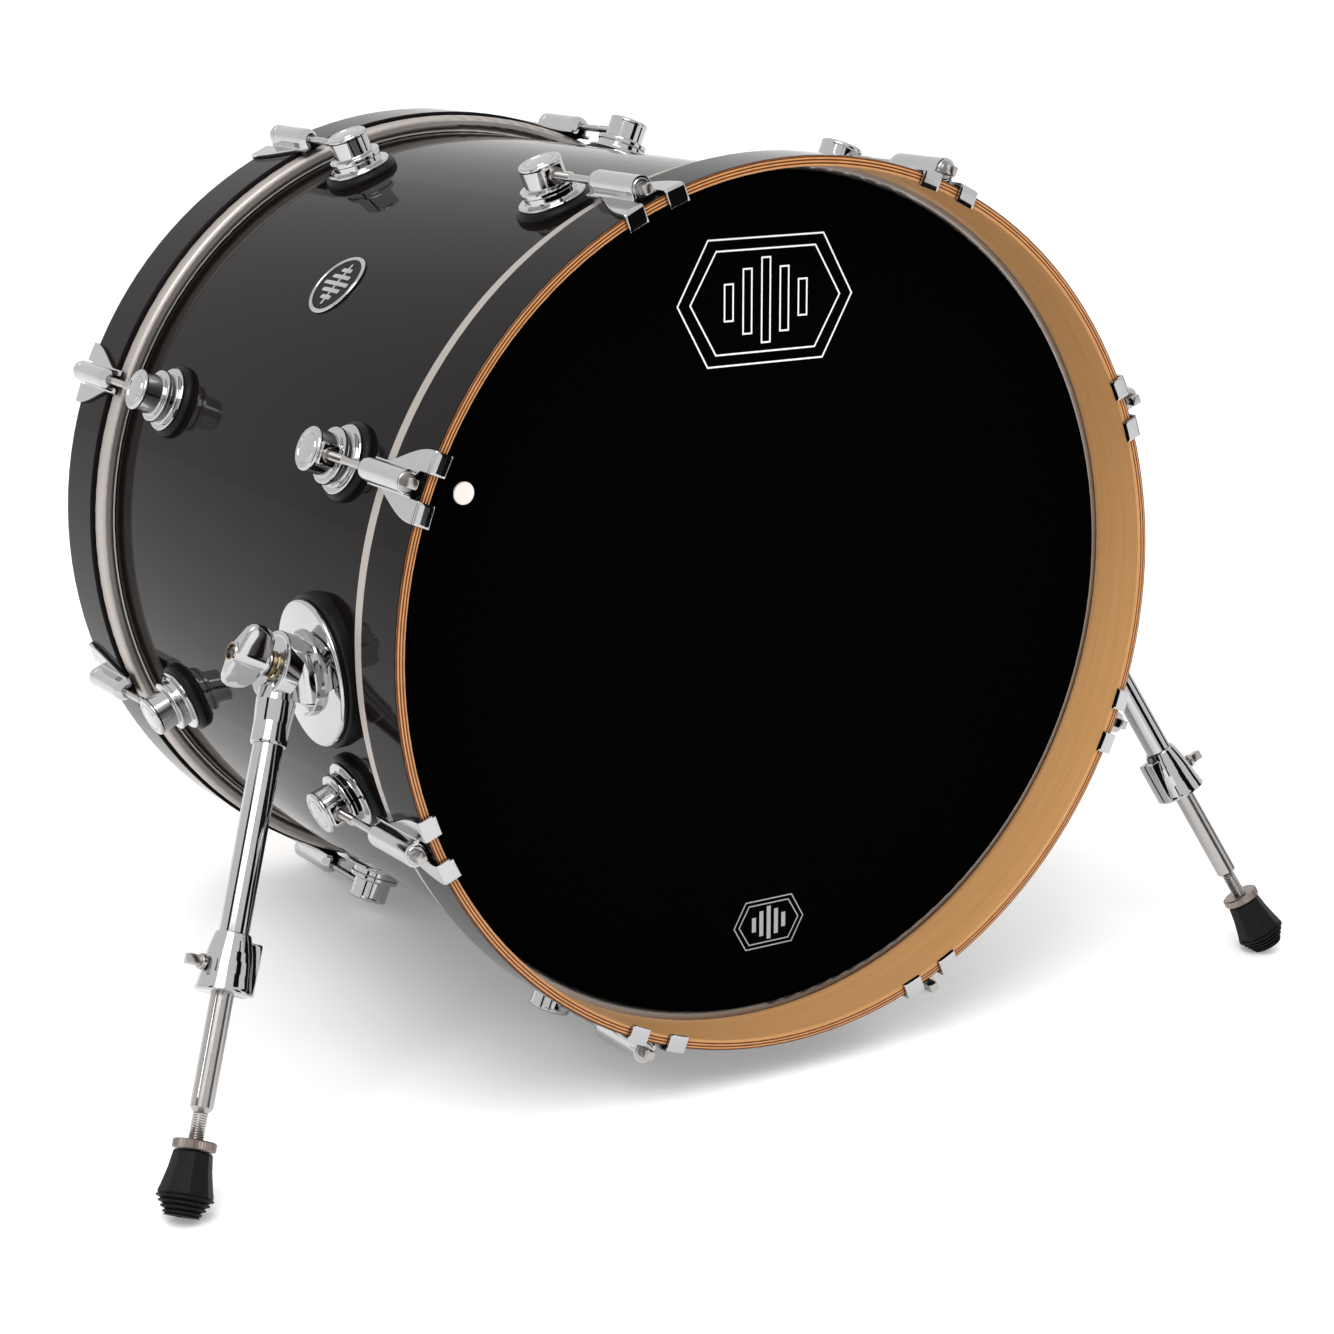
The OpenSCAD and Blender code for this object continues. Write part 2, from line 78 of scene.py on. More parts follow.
FRONT, REAR = middle("front_hoop"), middle("rear_hoop")
DRUM_Y = (REAR - FRONT).normalized()
DRUM_X = Vector((1, 0, 0))
DRUM = frame_matrix((FRONT + REAR) / 2, DRUM_X, DRUM_Y, DRUM_X.cross(DRUM_Y))
LUGS = 8
ENDS = ("front", "rear")
SIDES = ("right", "left")
SHELL_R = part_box("shell")[1].x
HOOP_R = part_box("front_hoop")[1].x
HOOP_EDGE = (REAR - FRONT).length / 2 + 0.023        # from the drum's middle to a hoop's edge
BARREL_END = HOOP_EDGE - 0.008                       # to the mouth of a claw's barrel
GAP = 0.00005                                        # between pieces that lie on each other
FIT = 0.0001                                         # round a shaft in its bore
PIN_BORE = 0.0046                                    # radius of a bore round the pivot pin
ROD_R = (Vector(joint("front_rod_1_turn")["pos_m"]) - middle("shell")).cross(DRUM_Y).length

TO_X = Matrix.Rotation(math.radians(90), 4, "Y")     # a shape made about Z points along X
TO_Y = Matrix.Rotation(math.radians(-90), 4, "X")    # a shape made about Z points along Y
HALF_TURN = Matrix.Rotation(math.pi, 4, "X")         # swaps a rear shape to the front end
MIRROR = Matrix.Scale(-1, 4, (1, 0, 0))              # swaps the right side to the left

PIVOT = Vector(joint("right_leg_fold")["pos_m"])
PIN = Vector(joint("right_leg_fold")["axis"]).normalized()
LEG = Vector(joint("right_leg_slide")["axis"]).normalized()
LEG_FRAME = frame_matrix(PIVOT, PIN, LEG.cross(PIN), LEG)       # Z runs down the leg
PIN_FRAME = frame_matrix(PIVOT, DRUM_Y.cross(PIN), DRUM_Y, PIN)  # Z runs out along the pin


def lug_frame(i, end):
    """The frame of lug i at an end: X outwards, Y towards the hoop at that end."""
    turn = Matrix.Rotation(-math.radians(360 / LUGS * (i + 0.5)), 4, "Y")
    return DRUM @ turn @ (HALF_TURN if end == "front" else Matrix.Identity(4))


def lug_places():
    """The end, the number and the frame of each lug."""
    for end in ENDS:
        for i in range(LUGS):
            yield end, i + 1, lug_frame(i, end)


# ---- the values that a user would change ------------------------------------------------------


def length(name, description, default):
    return FloatProperty(name=name, description=description, default=default,
                         unit="LENGTH", subtype="DISTANCE", precision=4)


def colour(name, description, default):
    return FloatVectorProperty(name=name, description=description, default=default,
                               subtype="COLOR", size=3, min=0, max=1)


def factor(name, description, default):
    return FloatProperty(name=name, description=description, default=default, min=0, max=1,
                         subtype="FACTOR")


class DrumSizes(bpy.types.PropertyGroup):
    """Sizes of the pieces on the drum."""

    lug_place: length("Lug place", "From the drum's middle to a lug's centre", 0.1369)
    lug_radius: length("Lug radius", "Radius of a lug's body", 0.0142)
    lug_height: length("Lug height", "Height of a lug above the shell", 0.0316)
    gasket_radius: length("Gasket radius", "Radius of a lug's gasket at the shell", 0.026)
    gasket_height: length("Gasket height", "Height of a lug's gasket above the shell", 0.005)
    claw_sheet: length("Claw sheet", "Thickness of a claw's sheet", 0.0022)
    claw_wing: length("Claw wing", "Length of a claw's wings along the drum", 0.051)
    claw_half: length("Claw half width", "Half of a claw's width over both hooks", 0.0228)
    claw_gap: length("Claw gap", "Half of the gap between the hooks", 0.0087)
    barrel_radius: length("Barrel radius", "Radius of a claw's barrel", 0.0076)
    rod_radius: length("Rod radius", "Radius of a tension rod's thread", 0.0029)
    key_square: length("Key square", "Width of a drum key square", 0.00635)
    badge_radius: length("Badge radius", "Radius of the badge", 0.0245)
    emblem_width: length("Emblem width", "Width of the print on the front head", 0.136)


class SpurSizes(bpy.types.PropertyGroup):
    """Sizes of the two spurs."""

    plate_tilt: FloatProperty(name="Plate tilt", description="Angle of a plate below the middle",
                              default=math.radians(5.2), unit="ROTATION", subtype="ANGLE")
    plate_place: length("Plate place", "From the drum's middle to a plate's centre", 0.134)
    plate_back: length("Plate back", "From the drum's axis to a plate's back", 0.2854)
    plate_thickness: length("Plate thickness", "Thickness of a plate", 0.005)
    plate_wide: length("Plate half width", "Half of a plate's width along the drum", 0.045)
    plate_tall: length("Plate half height", "Half of a plate's height", 0.048)
    knuckle_radius: length("Knuckle radius", "Radius of a knuckle's disc", 0.022)
    socket_radius: length("Socket radius", "Radius of a knuckle's socket", 0.0116)
    socket_end: length("Socket end", "From the pivot to the socket's rim", 0.051)
    tube_radius: length("Tube radius", "Outer radius of the leg tube", 0.0095)
    rod_radius: length("Rod radius", "Radius of the sliding rod", 0.0072)
    thread_radius: length("Thread radius", "Radius of the foot's thread", 0.0049)
    clamp_place: length("Clamp place", "From the pivot to the memory clamp", 0.1705)
    rod_end: length("Rod shoulder", "From the pivot to the sliding rod's shoulder", 0.2805)
    lock_place: length("Lock nut place", "From the pivot to the lock nut", 0.2975)


class Colours(bpy.types.PropertyGroup):
    """Colours of the finishes."""

    lacquer: colour("Lacquer", "Gloss lacquer of the shell and the hoops", (0.0058, 0.0042, 0.0040))
    maple: colour("Maple", "Bare maple inside the hoops and the shell", (0.56, 0.30, 0.12))
    ply_light: colour("Light ply", "Light plies on a hoop's edge", (0.52, 0.245, 0.095))
    ply_dark: colour("Dark ply", "Dark plies on a hoop's edge", (0.095, 0.027, 0.006))
    chrome: colour("Chrome", "Plated castings and claws", (0.48, 0.48, 0.49))
    steel: colour("Steel", "Rods, screws and washers", (0.42, 0.405, 0.395))
    aluminium: colour("Aluminium", "Flesh hoops", (0.50, 0.46, 0.435))
    brass: colour("Brass", "Washers at the wing nuts", (0.27, 0.20, 0.10))
    nickel: colour("Dark nickel", "Knurled lock nuts", (0.30, 0.25, 0.225))
    rubber: colour("Rubber", "Gaskets and feet", (0.0052, 0.0053, 0.0056))
    head_black: colour("Black film", "Front head", (0.0009, 0.0009, 0.0009))
    head_coat: colour("Coated film", "Batter head", (0.78, 0.77, 0.74))
    print_white: colour("Print", "Print on the front head", (0.80, 0.80, 0.82))
    floor: colour("Floor", "Studio floor", (0.93, 0.93, 0.93))


class StageSizes(bpy.types.PropertyGroup):
    """The camera and the light."""

    camera_place: FloatVectorProperty(name="Camera place", description="Where the camera stands",
                                      default=(-1.0612, -1.7447, 0.8362), subtype="TRANSLATION")
    camera_aim: FloatVectorProperty(name="Camera aim", description="Direction the camera looks in",
                                    default=(0.5198, 0.8032, -0.2910), subtype="DIRECTION")
    camera_roll: FloatProperty(name="Camera roll", description="Turn about the line of sight",
                               default=math.radians(1.53), unit="ROTATION", subtype="ANGLE")
    lens: FloatProperty(name="Lens", description="Focal length", default=79.03,
                        subtype="DISTANCE_CAMERA")
    key_power: FloatProperty(name="Key light", description="Power of the large softbox",
                             default=75.0, unit="POWER")
    fill: factor("Sky", "Brightness of the studio around the drum", 1.0)
    floor_size: length("Floor size", "Width of the floor", 40.0)


def sizes():
    return bpy.context.scene.bass_drum_sizes


def spur():
    return bpy.context.scene.bass_drum_spur


def colours():
    return bpy.context.scene.bass_drum_colours


def stage_sizes():
    return bpy.context.scene.bass_drum_stage


# ---- modelling helpers ------------------------------------------------------------------------


def deselect():
    if bpy.context.mode != "OBJECT":
        bpy.ops.object.mode_set(mode="OBJECT")
    bpy.ops.object.select_all(action="DESELECT")


def pick(piece):
    """Makes piece the only selected object."""
    deselect()
    piece.select_set(True)
    bpy.context.view_layer.objects.active = piece


def edit(piece):
    pick(piece)
    bpy.ops.object.mode_set(mode="EDIT")
    bpy.ops.mesh.select_mode(type="VERT")


def name_piece(name):
    piece = bpy.context.object
    piece.name = name
    piece.data.name = name
    return piece


def apply_modifier(piece, kind, **settings):
    """Adds a modifier with those settings and applies it."""
    pick(piece)
    modifier = piece.modifiers.new(kind.title(), kind)
    for key, value in settings.items():
        setattr(modifier, key, value)
    bpy.ops.object.modifier_apply(modifier=modifier.name)
    return piece


def place(piece, matrix):
    """Puts a shape made at the origin in its place, with the place in its mesh."""
    pick(piece)
    piece.data.transform(matrix)
    if matrix.determinant() < 0:
        piece.data.flip_normals()
    return piece


def supported(profile):
    """The profile with a point close to both ends of each long stretch, which keeps it straight
    where it is shaded smoothly."""
    points = profile[:1]
    for (r0, h0), (r1, h1) in zip(profile, profile[1:]):
        span = math.hypot(r1 - r0, h1 - h0)
        if span > 0.0016:
            for share in (0.0003 / span, 1 - 0.0003 / span):
                points.append((r0 + (r1 - r0) * share, h0 + (h1 - h0) * share))
        points.append((r1, h1))
    return points


def turned(name, profile, sides=48, ring=False):
    """A turned solid about Z. profile is a list of (radius, height) from the start to the end;
    a ring closes on its first point, and a solid has flat caps."""
    deselect()
    profile = supported(profile)
    radius, height = profile[0]
    bpy.ops.mesh.primitive_circle_add(vertices=sides, radius=radius, location=(0, 0, height),
                                      fill_type="NOTHING" if ring else "NGON")
    piece = name_piece(name)
    bpy.ops.object.transform_apply()
    edit(piece)
    bpy.ops.mesh.select_all(action="SELECT")
    for next_radius, next_height in profile[1:] + (profile[:1] if ring else []):
        bpy.ops.mesh.extrude_region_move(
            TRANSFORM_OT_translate={"value": (0, 0, next_height - height)})
        grow = next_radius / radius
        bpy.ops.transform.resize(value=(grow, grow, 1), center_override=(0, 0, next_height))
        radius, height = next_radius, next_height
    bpy.ops.mesh.select_all(action="SELECT")
    if ring:
        bpy.ops.mesh.remove_doubles(threshold=1e-6)
    bpy.ops.mesh.normals_make_consistent(inside=False)
    bpy.ops.object.mode_set(mode="OBJECT")
    return piece


def prism(name, outline, low, high):
    """A prism on Z from an outline, a list of (x, y) points that runs anticlockwise."""
    deselect()
    bpy.ops.mesh.primitive_circle_add(vertices=len(outline), radius=1, fill_type="NGON")
    piece = name_piece(name)
    for vertex, (x, y) in zip(piece.data.vertices, outline):
        vertex.co = (x, y, low)
    edit(piece)
    bpy.ops.mesh.select_all(action="SELECT")
    bpy.ops.mesh.extrude_region_move(TRANSFORM_OT_translate={"value": (0, 0, high - low)})
    bpy.ops.mesh.select_all(action="SELECT")
    bpy.ops.mesh.normals_make_consistent(inside=False)
    bpy.ops.object.mode_set(mode="OBJECT")
    return piece


def block(name, low, high, bevel=0.0):
    """A rectangular block between two corners, with its edges rounded."""
    deselect()
    bpy.ops.mesh.primitive_cube_add(size=1)
    piece = name_piece(name)
    low, high = Vector(low), Vector(high)
    span = high - low
    piece.data.transform(Matrix.Translation((low + high) / 2) @ Matrix.Diagonal((*span, 1)))
    if bevel:
        round_edges(piece, bevel)
    return piece


def round_edges(piece, width, segments=2, angle=32):
    """Rounds the edges that are sharper than an angle in degrees."""
    return apply_modifier(piece, "BEVEL", width=width, segments=segments, limit_method="ANGLE",
                          angle_limit=math.radians(angle), use_clamp_overlap=True)


def combine(piece, other, operation):
    """Cuts another solid from piece, adds it or keeps what they share, and removes the other."""
    apply_modifier(piece, "BOOLEAN", object=other, operation=operation, solver="EXACT")
    bpy.data.objects.remove(other)
    return piece


def join(name, pieces):
    """Joins solids into one object without merging them."""
    deselect()
    for piece in pieces:
        piece.select_set(True)
    bpy.context.view_layer.objects.active = pieces[0]
    bpy.ops.object.join()
    return name_piece(name)


def smooth(piece, angle=32):
    pick(piece)
    bpy.ops.object.shade_smooth_by_angle(angle=math.radians(angle))
    return piece


def copy_of(piece, name, matrix):
    """A copy with its own mesh, moved by matrix."""
    made = piece.copy()
    made.data = piece.data.copy()
    made.name = name
    made.data.name = name
    bpy.context.scene.collection.objects.link(made)
    return place(made, matrix)


def finish(piece, material, slot, body, *nodes):
    """Gives a piece its finish and its body, and lets it stand for its CAD nodes."""
    piece.data.materials.clear()
    piece.data.materials.append(material)
    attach(piece, body)
    if nodes:
        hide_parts(*nodes)
    return piece


def finish_sides(master, part, finish_name, slot, body, node):
    """Finishes the right piece from a master in place, and its mirror image on the left. In body
    and node, {} stands for the side; a node that is empty isn't replaced."""
    for side, matrix in zip(SIDES, (Matrix.Identity(4), MIRROR)):
        piece = copy_of(master, f"{side}_{part}_piece", matrix)
        nodes = [node.format(side)] if node else []
        finish(piece, FINISHES[finish_name], slot, body.format(side), *nodes)
    bpy.data.objects.remove(master)


def drill(piece, radius, low, high, matrix=None, sides=48):
    """Cuts a round hole on Z, or on the Z of a matrix, from one height to another."""
    hole = turned("hole", [(radius, low), (radius, high)], sides)
    if matrix:
        place(hole, matrix)
    return combine(piece, hole, "DIFFERENCE")


# ---- shader maths -----------------------------------------------------------------------------


class Wire:
    """A value in a node tree: a socket or a number, so that maths reads as an expression."""

    def __init__(self, shader, source):
        self.shader = shader
        self.source = source

    def maths(self, operation, *others):
        return self.shader.node("ShaderNodeMath", {"operation": operation},
                                [self, *others])

    def __add__(self, other):
        return self.maths("ADD", other)

    def __radd__(self, other):
        return self.maths("ADD", other)

    def __sub__(self, other):
        return self.maths("SUBTRACT", other)

    def __rsub__(self, other):
        return Wire(self.shader, other).maths("SUBTRACT", self)

    def __mul__(self, other):
        return self.maths("MULTIPLY", other)

    def __truediv__(self, other):
        return self.maths("DIVIDE", other)

    def step(self, low, high):
        """Rises smoothly from 0 at low to 1 at high."""
        return self.shader.node("ShaderNodeMapRange", {"interpolation_type": "SMOOTHSTEP"},
                                {"Value": self, "From Min": low, "From Max": high})


class Shader:
    """Builds one material. Coordinates are the object's own, in the drum's frame or another."""

    def __init__(self, name):
        self.material = bpy.data.materials.new(name)
        self.material.use_nodes = True
        self.tree = self.material.node_tree
        self.surface = self.tree.nodes["Principled BSDF"]

    def node(self, kind, settings, inputs, output=0):
        """Adds a node, sets its settings and its sockets, and gives one of its outputs."""
        made = self.tree.nodes.new(kind)
        for key, value in settings.items():
            setattr(made, key, value)
        pairs = inputs.items() if isinstance(inputs, dict) else enumerate(inputs)
        for key, value in pairs:
            self.feed(made.inputs[key], value)
        return Wire(self, made.outputs[output])

    def feed(self, socket, value):
        source = value.source if isinstance(value, Wire) else value
        if isinstance(source, bpy.types.NodeSocket):
            self.tree.links.new(source, socket)
        elif socket.type == "RGBA" and len(source) == 3:
            socket.default_value = (*source, 1)
        else:
            socket.default_value = source

    def set(self, **sockets):
        """Sets sockets of the surface; underscores stand for the spaces in their names."""
        for key, value in sockets.items():
            self.feed(self.surface.inputs[key.replace("_", " ")], value)
        return self

    def place(self, matrix=DRUM):
        """Coordinates in a frame, in metres."""
        here = self.node("ShaderNodeTexCoord", {}, {}, "Object")
        return self.node("ShaderNodeMapping", {"vector_type": "TEXTURE"},
                         {"Vector": here, "Location": matrix.translation,
                          "Rotation": matrix.to_euler()})

    def stretch(self, vector, scale):
        return self.node("ShaderNodeVectorMath", {"operation": "MULTIPLY"}, [vector, scale])

    def split(self, vector):
        return [self.node("ShaderNodeSeparateXYZ", {}, {"Vector": vector}, axis)
                for axis in ("X", "Y", "Z")]

    def noise(self, vector, scale, detail=3.0, roughness=0.55):
        return self.node("ShaderNodeTexNoise", {},
                         {"Vector": vector, "Scale": scale, "Detail": detail,
                          "Roughness": roughness})

    def mix(self, share, first, second):
        """Blends two colours."""
        made = self.tree.nodes.new("ShaderNodeMix")
        made.data_type = "RGBA"
        for socket, value in zip([made.inputs[0], made.inputs[6], made.inputs[7]],
                                 [share, first, second]):
            self.feed(socket, value)
        return Wire(self, made.outputs[2])

    def bump(self, height, distance, strength=1.0):
        normal = self.node("ShaderNodeBump", {},
                           {"Height": height, "Distance": distance, "Strength": strength})
        return self.set(Normal=normal)


def shade(value, times):
    """A colour made lighter or darker."""
    return tuple(min(1.0, part * times) for part in value)


def plated(name, colour_value, roughness):
    """Bright plating: faint waviness of the casting below and a trace of polishing marks."""
    made = Shader(name)
    here = made.place(Matrix.Identity(4))
    marks = made.noise(made.stretch(here, (900, 140, 140)), 1.0, 2.0)
    wide = made.noise(here, 55.0, 2.0)
    made.set(Base_Color=made.mix(wide, shade(colour_value, 0.94), shade(colour_value, 1.04)),
             Metallic=1.0, Roughness=roughness * 0.75 + (marks * 0.5 + wide * 0.5) * roughness)
    made.bump(wide, 0.00002, 0.5)
    return made.material


def brushed(name, colour_value, roughness):
    """Satin metal with fine lines that run round the drum."""
    made = Shader(name)
    here = made.place()
    lines = made.noise(made.stretch(here, (5, 2600, 5)), 1.0, 3.0)
    cloud = made.noise(here, 14.0, 2.0)
    tone = lines * 0.6 + cloud * 0.4
    made.set(Base_Color=made.mix(tone, shade(colour_value, 0.82), shade(colour_value, 1.16)),
             Metallic=1.0, Roughness=roughness * 0.8 + lines * roughness * 0.4)
    made.bump(lines, 0.00003, 0.4)
    return made.material


def moulded(name, colour_value, roughness, grain=1800.0, depth=0.00005, dust=0.10):
    """Rubber or plastic with a fine grain and a trace of dust."""
    made = Shader(name)
    here = made.place(Matrix.Identity(4))
    fine = made.noise(here, grain, 2.0)
    wide = made.noise(here, 45.0, 4.0)
    dusty = wide.step(0.55, 0.8) * dust
    made.set(Base_Color=made.mix(dusty, made.mix(fine, shade(colour_value, 0.8),
                                                 shade(colour_value, 1.25)), (0.10, 0.095, 0.09)),
             Roughness=roughness + wide * 0.16 - 0.08, Specular_IOR_Level=0.12)
    made.bump(fine, depth, 0.6)
    return made.material


def wood_and_lacquer(name, inner, outer, near, far, plies):
    """Bare maple inside, black lacquer outside, and plies on the cut edges between. inner and outer
    are radii. Nearer the middle than near all is lacquered, and past far an edge is cut wood."""
    made = Shader(name)
    tints = colours()
    here = made.place()
    x, y, z = made.split(here)
    radius = made.node("ShaderNodeMath", {"operation": "SQRT"}, [x * x + z * z])
    along = made.node("ShaderNodeMath", {"operation": "ABSOLUTE"}, [y])
    grain = made.noise(made.stretch(here, (9, 520, 9)), 1.0, 4.0, 0.62)
    figure = made.noise(made.stretch(here, (5, 48, 5)), 1.0, 3.0, 0.5)
    pores = made.noise(made.stretch(here, (30, 1900, 30)), 1.0, 2.0).step(0.62, 0.72)
    wood = made.mix(grain * 0.55 + figure * 0.45, shade(tints.maple, 0.74),
                    shade(tints.maple, 1.30))
    wood = made.mix(pores * 0.22, wood, shade(tints.maple, 0.42))
    depth = (radius - inner) / ((outer - inner) / plies)
    waver = made.noise(made.stretch(here, (60, 60, 60)), 1.0, 2.0) * 0.22 - 0.11
    layer = made.node("ShaderNodeMath", {"operation": "PINGPONG"}, [depth + waver, 1.0])
    fibre = made.noise(made.stretch(here, (160, 2200, 160)), 1.0, 2.0)
    ply = made.mix(layer.step(0.42, 0.66), made.mix(fibre, shade(tints.ply_dark, 0.7),
                                                    shade(tints.ply_dark, 1.5)),
                   made.mix(fibre, shade(tints.ply_light, 0.8), shade(tints.ply_light, 1.25)))
    cut = radius.step(inner + 0.0003, inner + 0.0006)
    bare = made.mix(cut, wood, ply)
    coated = radius.step(outer - 0.0009, outer - 0.0006) * (1 - along.step(far, far + 0.0004))
    coated = made.node("ShaderNodeMath", {"operation": "MAXIMUM"},
                       [coated, 1 - along.step(near, near + 0.0004)])
    speck = made.noise(here, 2600.0, 1.0).step(0.70, 0.78)
    cloud = made.noise(here, 5.0, 3.0)
    lacquer = made.mix(speck * 0.5, tints.lacquer, shade(tints.lacquer, 2.2))
    made.set(Base_Color=made.mix(coated, bare, lacquer),
             Roughness=(1 - coated) * (0.34 + grain * 0.16) + coated * (0.035 + cloud * 0.03),
             Coat_Weight=0.35 - coated * 0.35, Coat_Roughness=0.05, Coat_IOR=1.5,
             Specular_IOR_Level=0.06)
    peel = made.noise(here, 210.0, 2.0)
    made.bump(peel * coated * 0.25 + (1 - coated) * (pores * -0.5 + grain * 0.4), 0.00006, 0.35)
    return made.material


def head_film(name, tint, roughness, specular, coating=0.0):
    """Drum-head film, with a sprayed texture where it is coated."""
    made = Shader(name)
    here = made.place()
    fine = made.noise(here, 1500.0, 2.0)
    wide = made.noise(here, 9.0, 3.0)
    made.set(Base_Color=made.mix(fine * 0.5 + wide * 0.5, shade(tint, 0.9), shade(tint, 1.08)),
             Roughness=roughness + fine * 0.08 + wide * 0.08, Specular_IOR_Level=specular)
    made.bump(fine, 0.00002 + coating * 0.00008, 0.5)
    return made.material


FINISHES = {}


def make_finishes():
    """Makes every finish once, by the name that the pieces use."""
    tints = colours()
    FINISHES["shell"] = wood_and_lacquer("Drum maple and lacquer", SHELL_R - 0.007, SHELL_R,
                                         -0.01, 0.2203, 9)
    FINISHES["hoop"] = wood_and_lacquer("Hoop maple and lacquer", HOOP_R - 0.007, HOOP_R,
                                        0.2172, 0.2622, 7)
    FINISHES["chrome"] = plated("Bright chrome", tints.chrome, 0.055)
    FINISHES["steel"] = plated("Turned steel", tints.steel, 0.17)
    FINISHES["aluminium"] = brushed("Satin aluminium", tints.aluminium, 0.50)
    FINISHES["brass"] = plated("Brass", tints.brass, 0.20)
    FINISHES["nickel"] = plated("Dark nickel", tints.nickel, 0.30)
    FINISHES["rubber"] = moulded("Black rubber", tints.rubber, 0.42, dust=0.04)
    FINISHES["foot"] = moulded("Foot rubber", tints.rubber, 0.55, 1300.0, 0.00009, 0.12)
    FINISHES["plastic"] = moulded("Black plastic", tints.rubber, 0.36, 2400.0, 0.00002, 0.05)
    FINISHES["field"] = moulded("Badge field", (0.006, 0.0055, 0.0055), 0.5, 2600.0, 0.0002, 0.0)
    FINISHES["eyelet"] = moulded("Cream plastic", (0.90, 0.84, 0.78), 0.38, 2000.0, 0.00002, 0.0)
    FINISHES["print"] = moulded("White print", tints.print_white, 0.5, 2600.0, 0.00001, 0.0)
    FINISHES["small_print"] = moulded("Grey print", shade(tints.print_white, 0.42), 0.5, 2600.0,
                                      0.00001, 0.0)
    FINISHES["front_head"] = head_film("Black head film", tints.head_black, 0.55, 0.0)
    FINISHES["rear_head"] = head_film("Coated head film", tints.head_coat, 0.50, 0.4, 1.0)


def give_finish(node, finish_name):
    """Puts a finish on a CAD node that is shown as it is."""
    for slot in frame["nodes"][node].material_slots:
        slot.material = FINISHES[finish_name]


# ---- pieces on the drum -----------------------------------------------------------------------


class DRUM_OT_wooden_pieces(bpy.types.Operator):
    """Finish the shell, the wooden hoops, the flesh hoops and the heads"""

    bl_idname = "drum.wooden_pieces"
    bl_label = "Shell, hoops and heads"

    def execute(self, context):
        make_finishes()
        give_finish("shell", "shell")
        for end in ENDS:
            give_finish(f"{end}_hoop", "hoop")
            give_finish(f"{end}_flesh_hoop", "aluminium")
            give_finish(f"{end}_head", f"{end}_head")
        return {"FINISHED"}


class DRUM_OT_fixed_hardware(bpy.types.Operator):
    """Finish the screws, nuts, plates, pads and washers that keep their engineering shape"""

    bl_idname = "drum.fixed_hardware"
    bl_label = "Small fixed hardware"

    def execute(self, context):
        for node, name in (("lug_screws", "steel"), ("spur_bolts", "steel"),
                           ("spur_backing_plates", "steel"), ("claw_pads", "rubber"),
                           ("rod_washers", "plastic"), ("lug_nuts", "steel")):
            give_finish(node, name)
        for side in SIDES:
            give_finish(f"{side}_tube", "chrome")
            give_finish(f"{side}_wing_washer", "brass")
        return {"FINISHED"}


class DRUM_OT_lugs(bpy.types.Operator):
    """Model one lug and its gasket, and copy them round the shell"""

    bl_idname = "drum.lugs"
    bl_label = "Lugs and gaskets"

    def lug(self):
        """Base flange, drum, collar, body with a rounded lip, and a cap with a shallow ring."""
        size = sizes()
        body, top = size.lug_radius, size.lug_height
        base = size.gasket_height + GAP
        body_piece = turned("lug", [
            (0.0212, base), (0.0221, base), (0.0228, base + 0.0006), (0.0228, base + 0.0014),
            (0.0223, base + 0.0020), (0.0212, base + 0.0022), (0.0190, base + 0.0023),
            (0.0181, base + 0.0027), (0.0177, base + 0.0034), (0.0176, base + 0.0066),
            (0.0183, base + 0.0070), (0.0187, base + 0.0076), (0.0187, base + 0.0098),
            (0.0184, base + 0.0104), (0.0176, base + 0.0108), (0.0152, base + 0.0110),
            (0.0145, base + 0.0113),
            (body, base + 0.0118), (body, top - 0.0030), (body + 0.0003, top - 0.0024),
            (body + 0.0003, top - 0.0014), (body - 0.0002, top - 0.0005),
            (body - 0.0010, top), (body - 0.0016, top - 0.0001), (body - 0.0034, top - 0.0001),
            (body - 0.0038, top - 0.0006), (body - 0.0045, top - 0.0006), (body - 0.0049, top),
            (0.0050, top + 0.0004), (0.002, top + 0.0005)], 64)
        frame_block = block("lug frame", (0.0158, 0, -0.0074), (0.0292, 0.0149, 0.0074), 0.0012)
        place(body_piece, TO_X)
        combine(body_piece, frame_block, "UNION")
        pocket = block("lug pocket", (0.0172, 0.0045, -0.0060), (0.0280, 0.03, 0.0060), 0.0010)
        combine(body_piece, pocket, "DIFFERENCE")
        return smooth(body_piece, 30)

    def gasket(self):
        """A rubber ring with rounded shoulders; its back follows the shell."""
        size = sizes()
        rim, high = size.gasket_radius, size.gasket_height
        piece = turned("gasket", [
            (0.0036, -0.0005), (rim, -0.0005), (rim + 0.0002, 0.0012), (rim - 0.0001, 0.0026),
            (rim - 0.0010, 0.0040), (rim - 0.0022, high - 0.0003), (rim - 0.0032, high),
            (0.0036, high)], 64, ring=True)
        place(piece, TO_X)
        for vertex in piece.data.vertices:
            if vertex.co.x < 0:
                drop = SHELL_R - math.sqrt(SHELL_R ** 2 - vertex.co.z ** 2)
                vertex.co.x = GAP - drop
        return smooth(piece, 40)

    def execute(self, context):
        lug, gasket = self.lug(), self.gasket()
        here = Matrix.Translation((SHELL_R, sizes().lug_place, 0))
        for end, number, turn in lug_places():
            finish(copy_of(lug, f"{end}_lug_{number}", turn @ here), FINISHES["chrome"],
                   "chrome", "drum", f"{end}_lugs")
            finish(copy_of(gasket, f"{end}_gasket_{number}", turn @ here), FINISHES["rubber"],
                   "black_rubber", "drum", "lug_gaskets")
        bpy.data.objects.remove(lug)
        bpy.data.objects.remove(gasket)
        return {"FINISHED"}


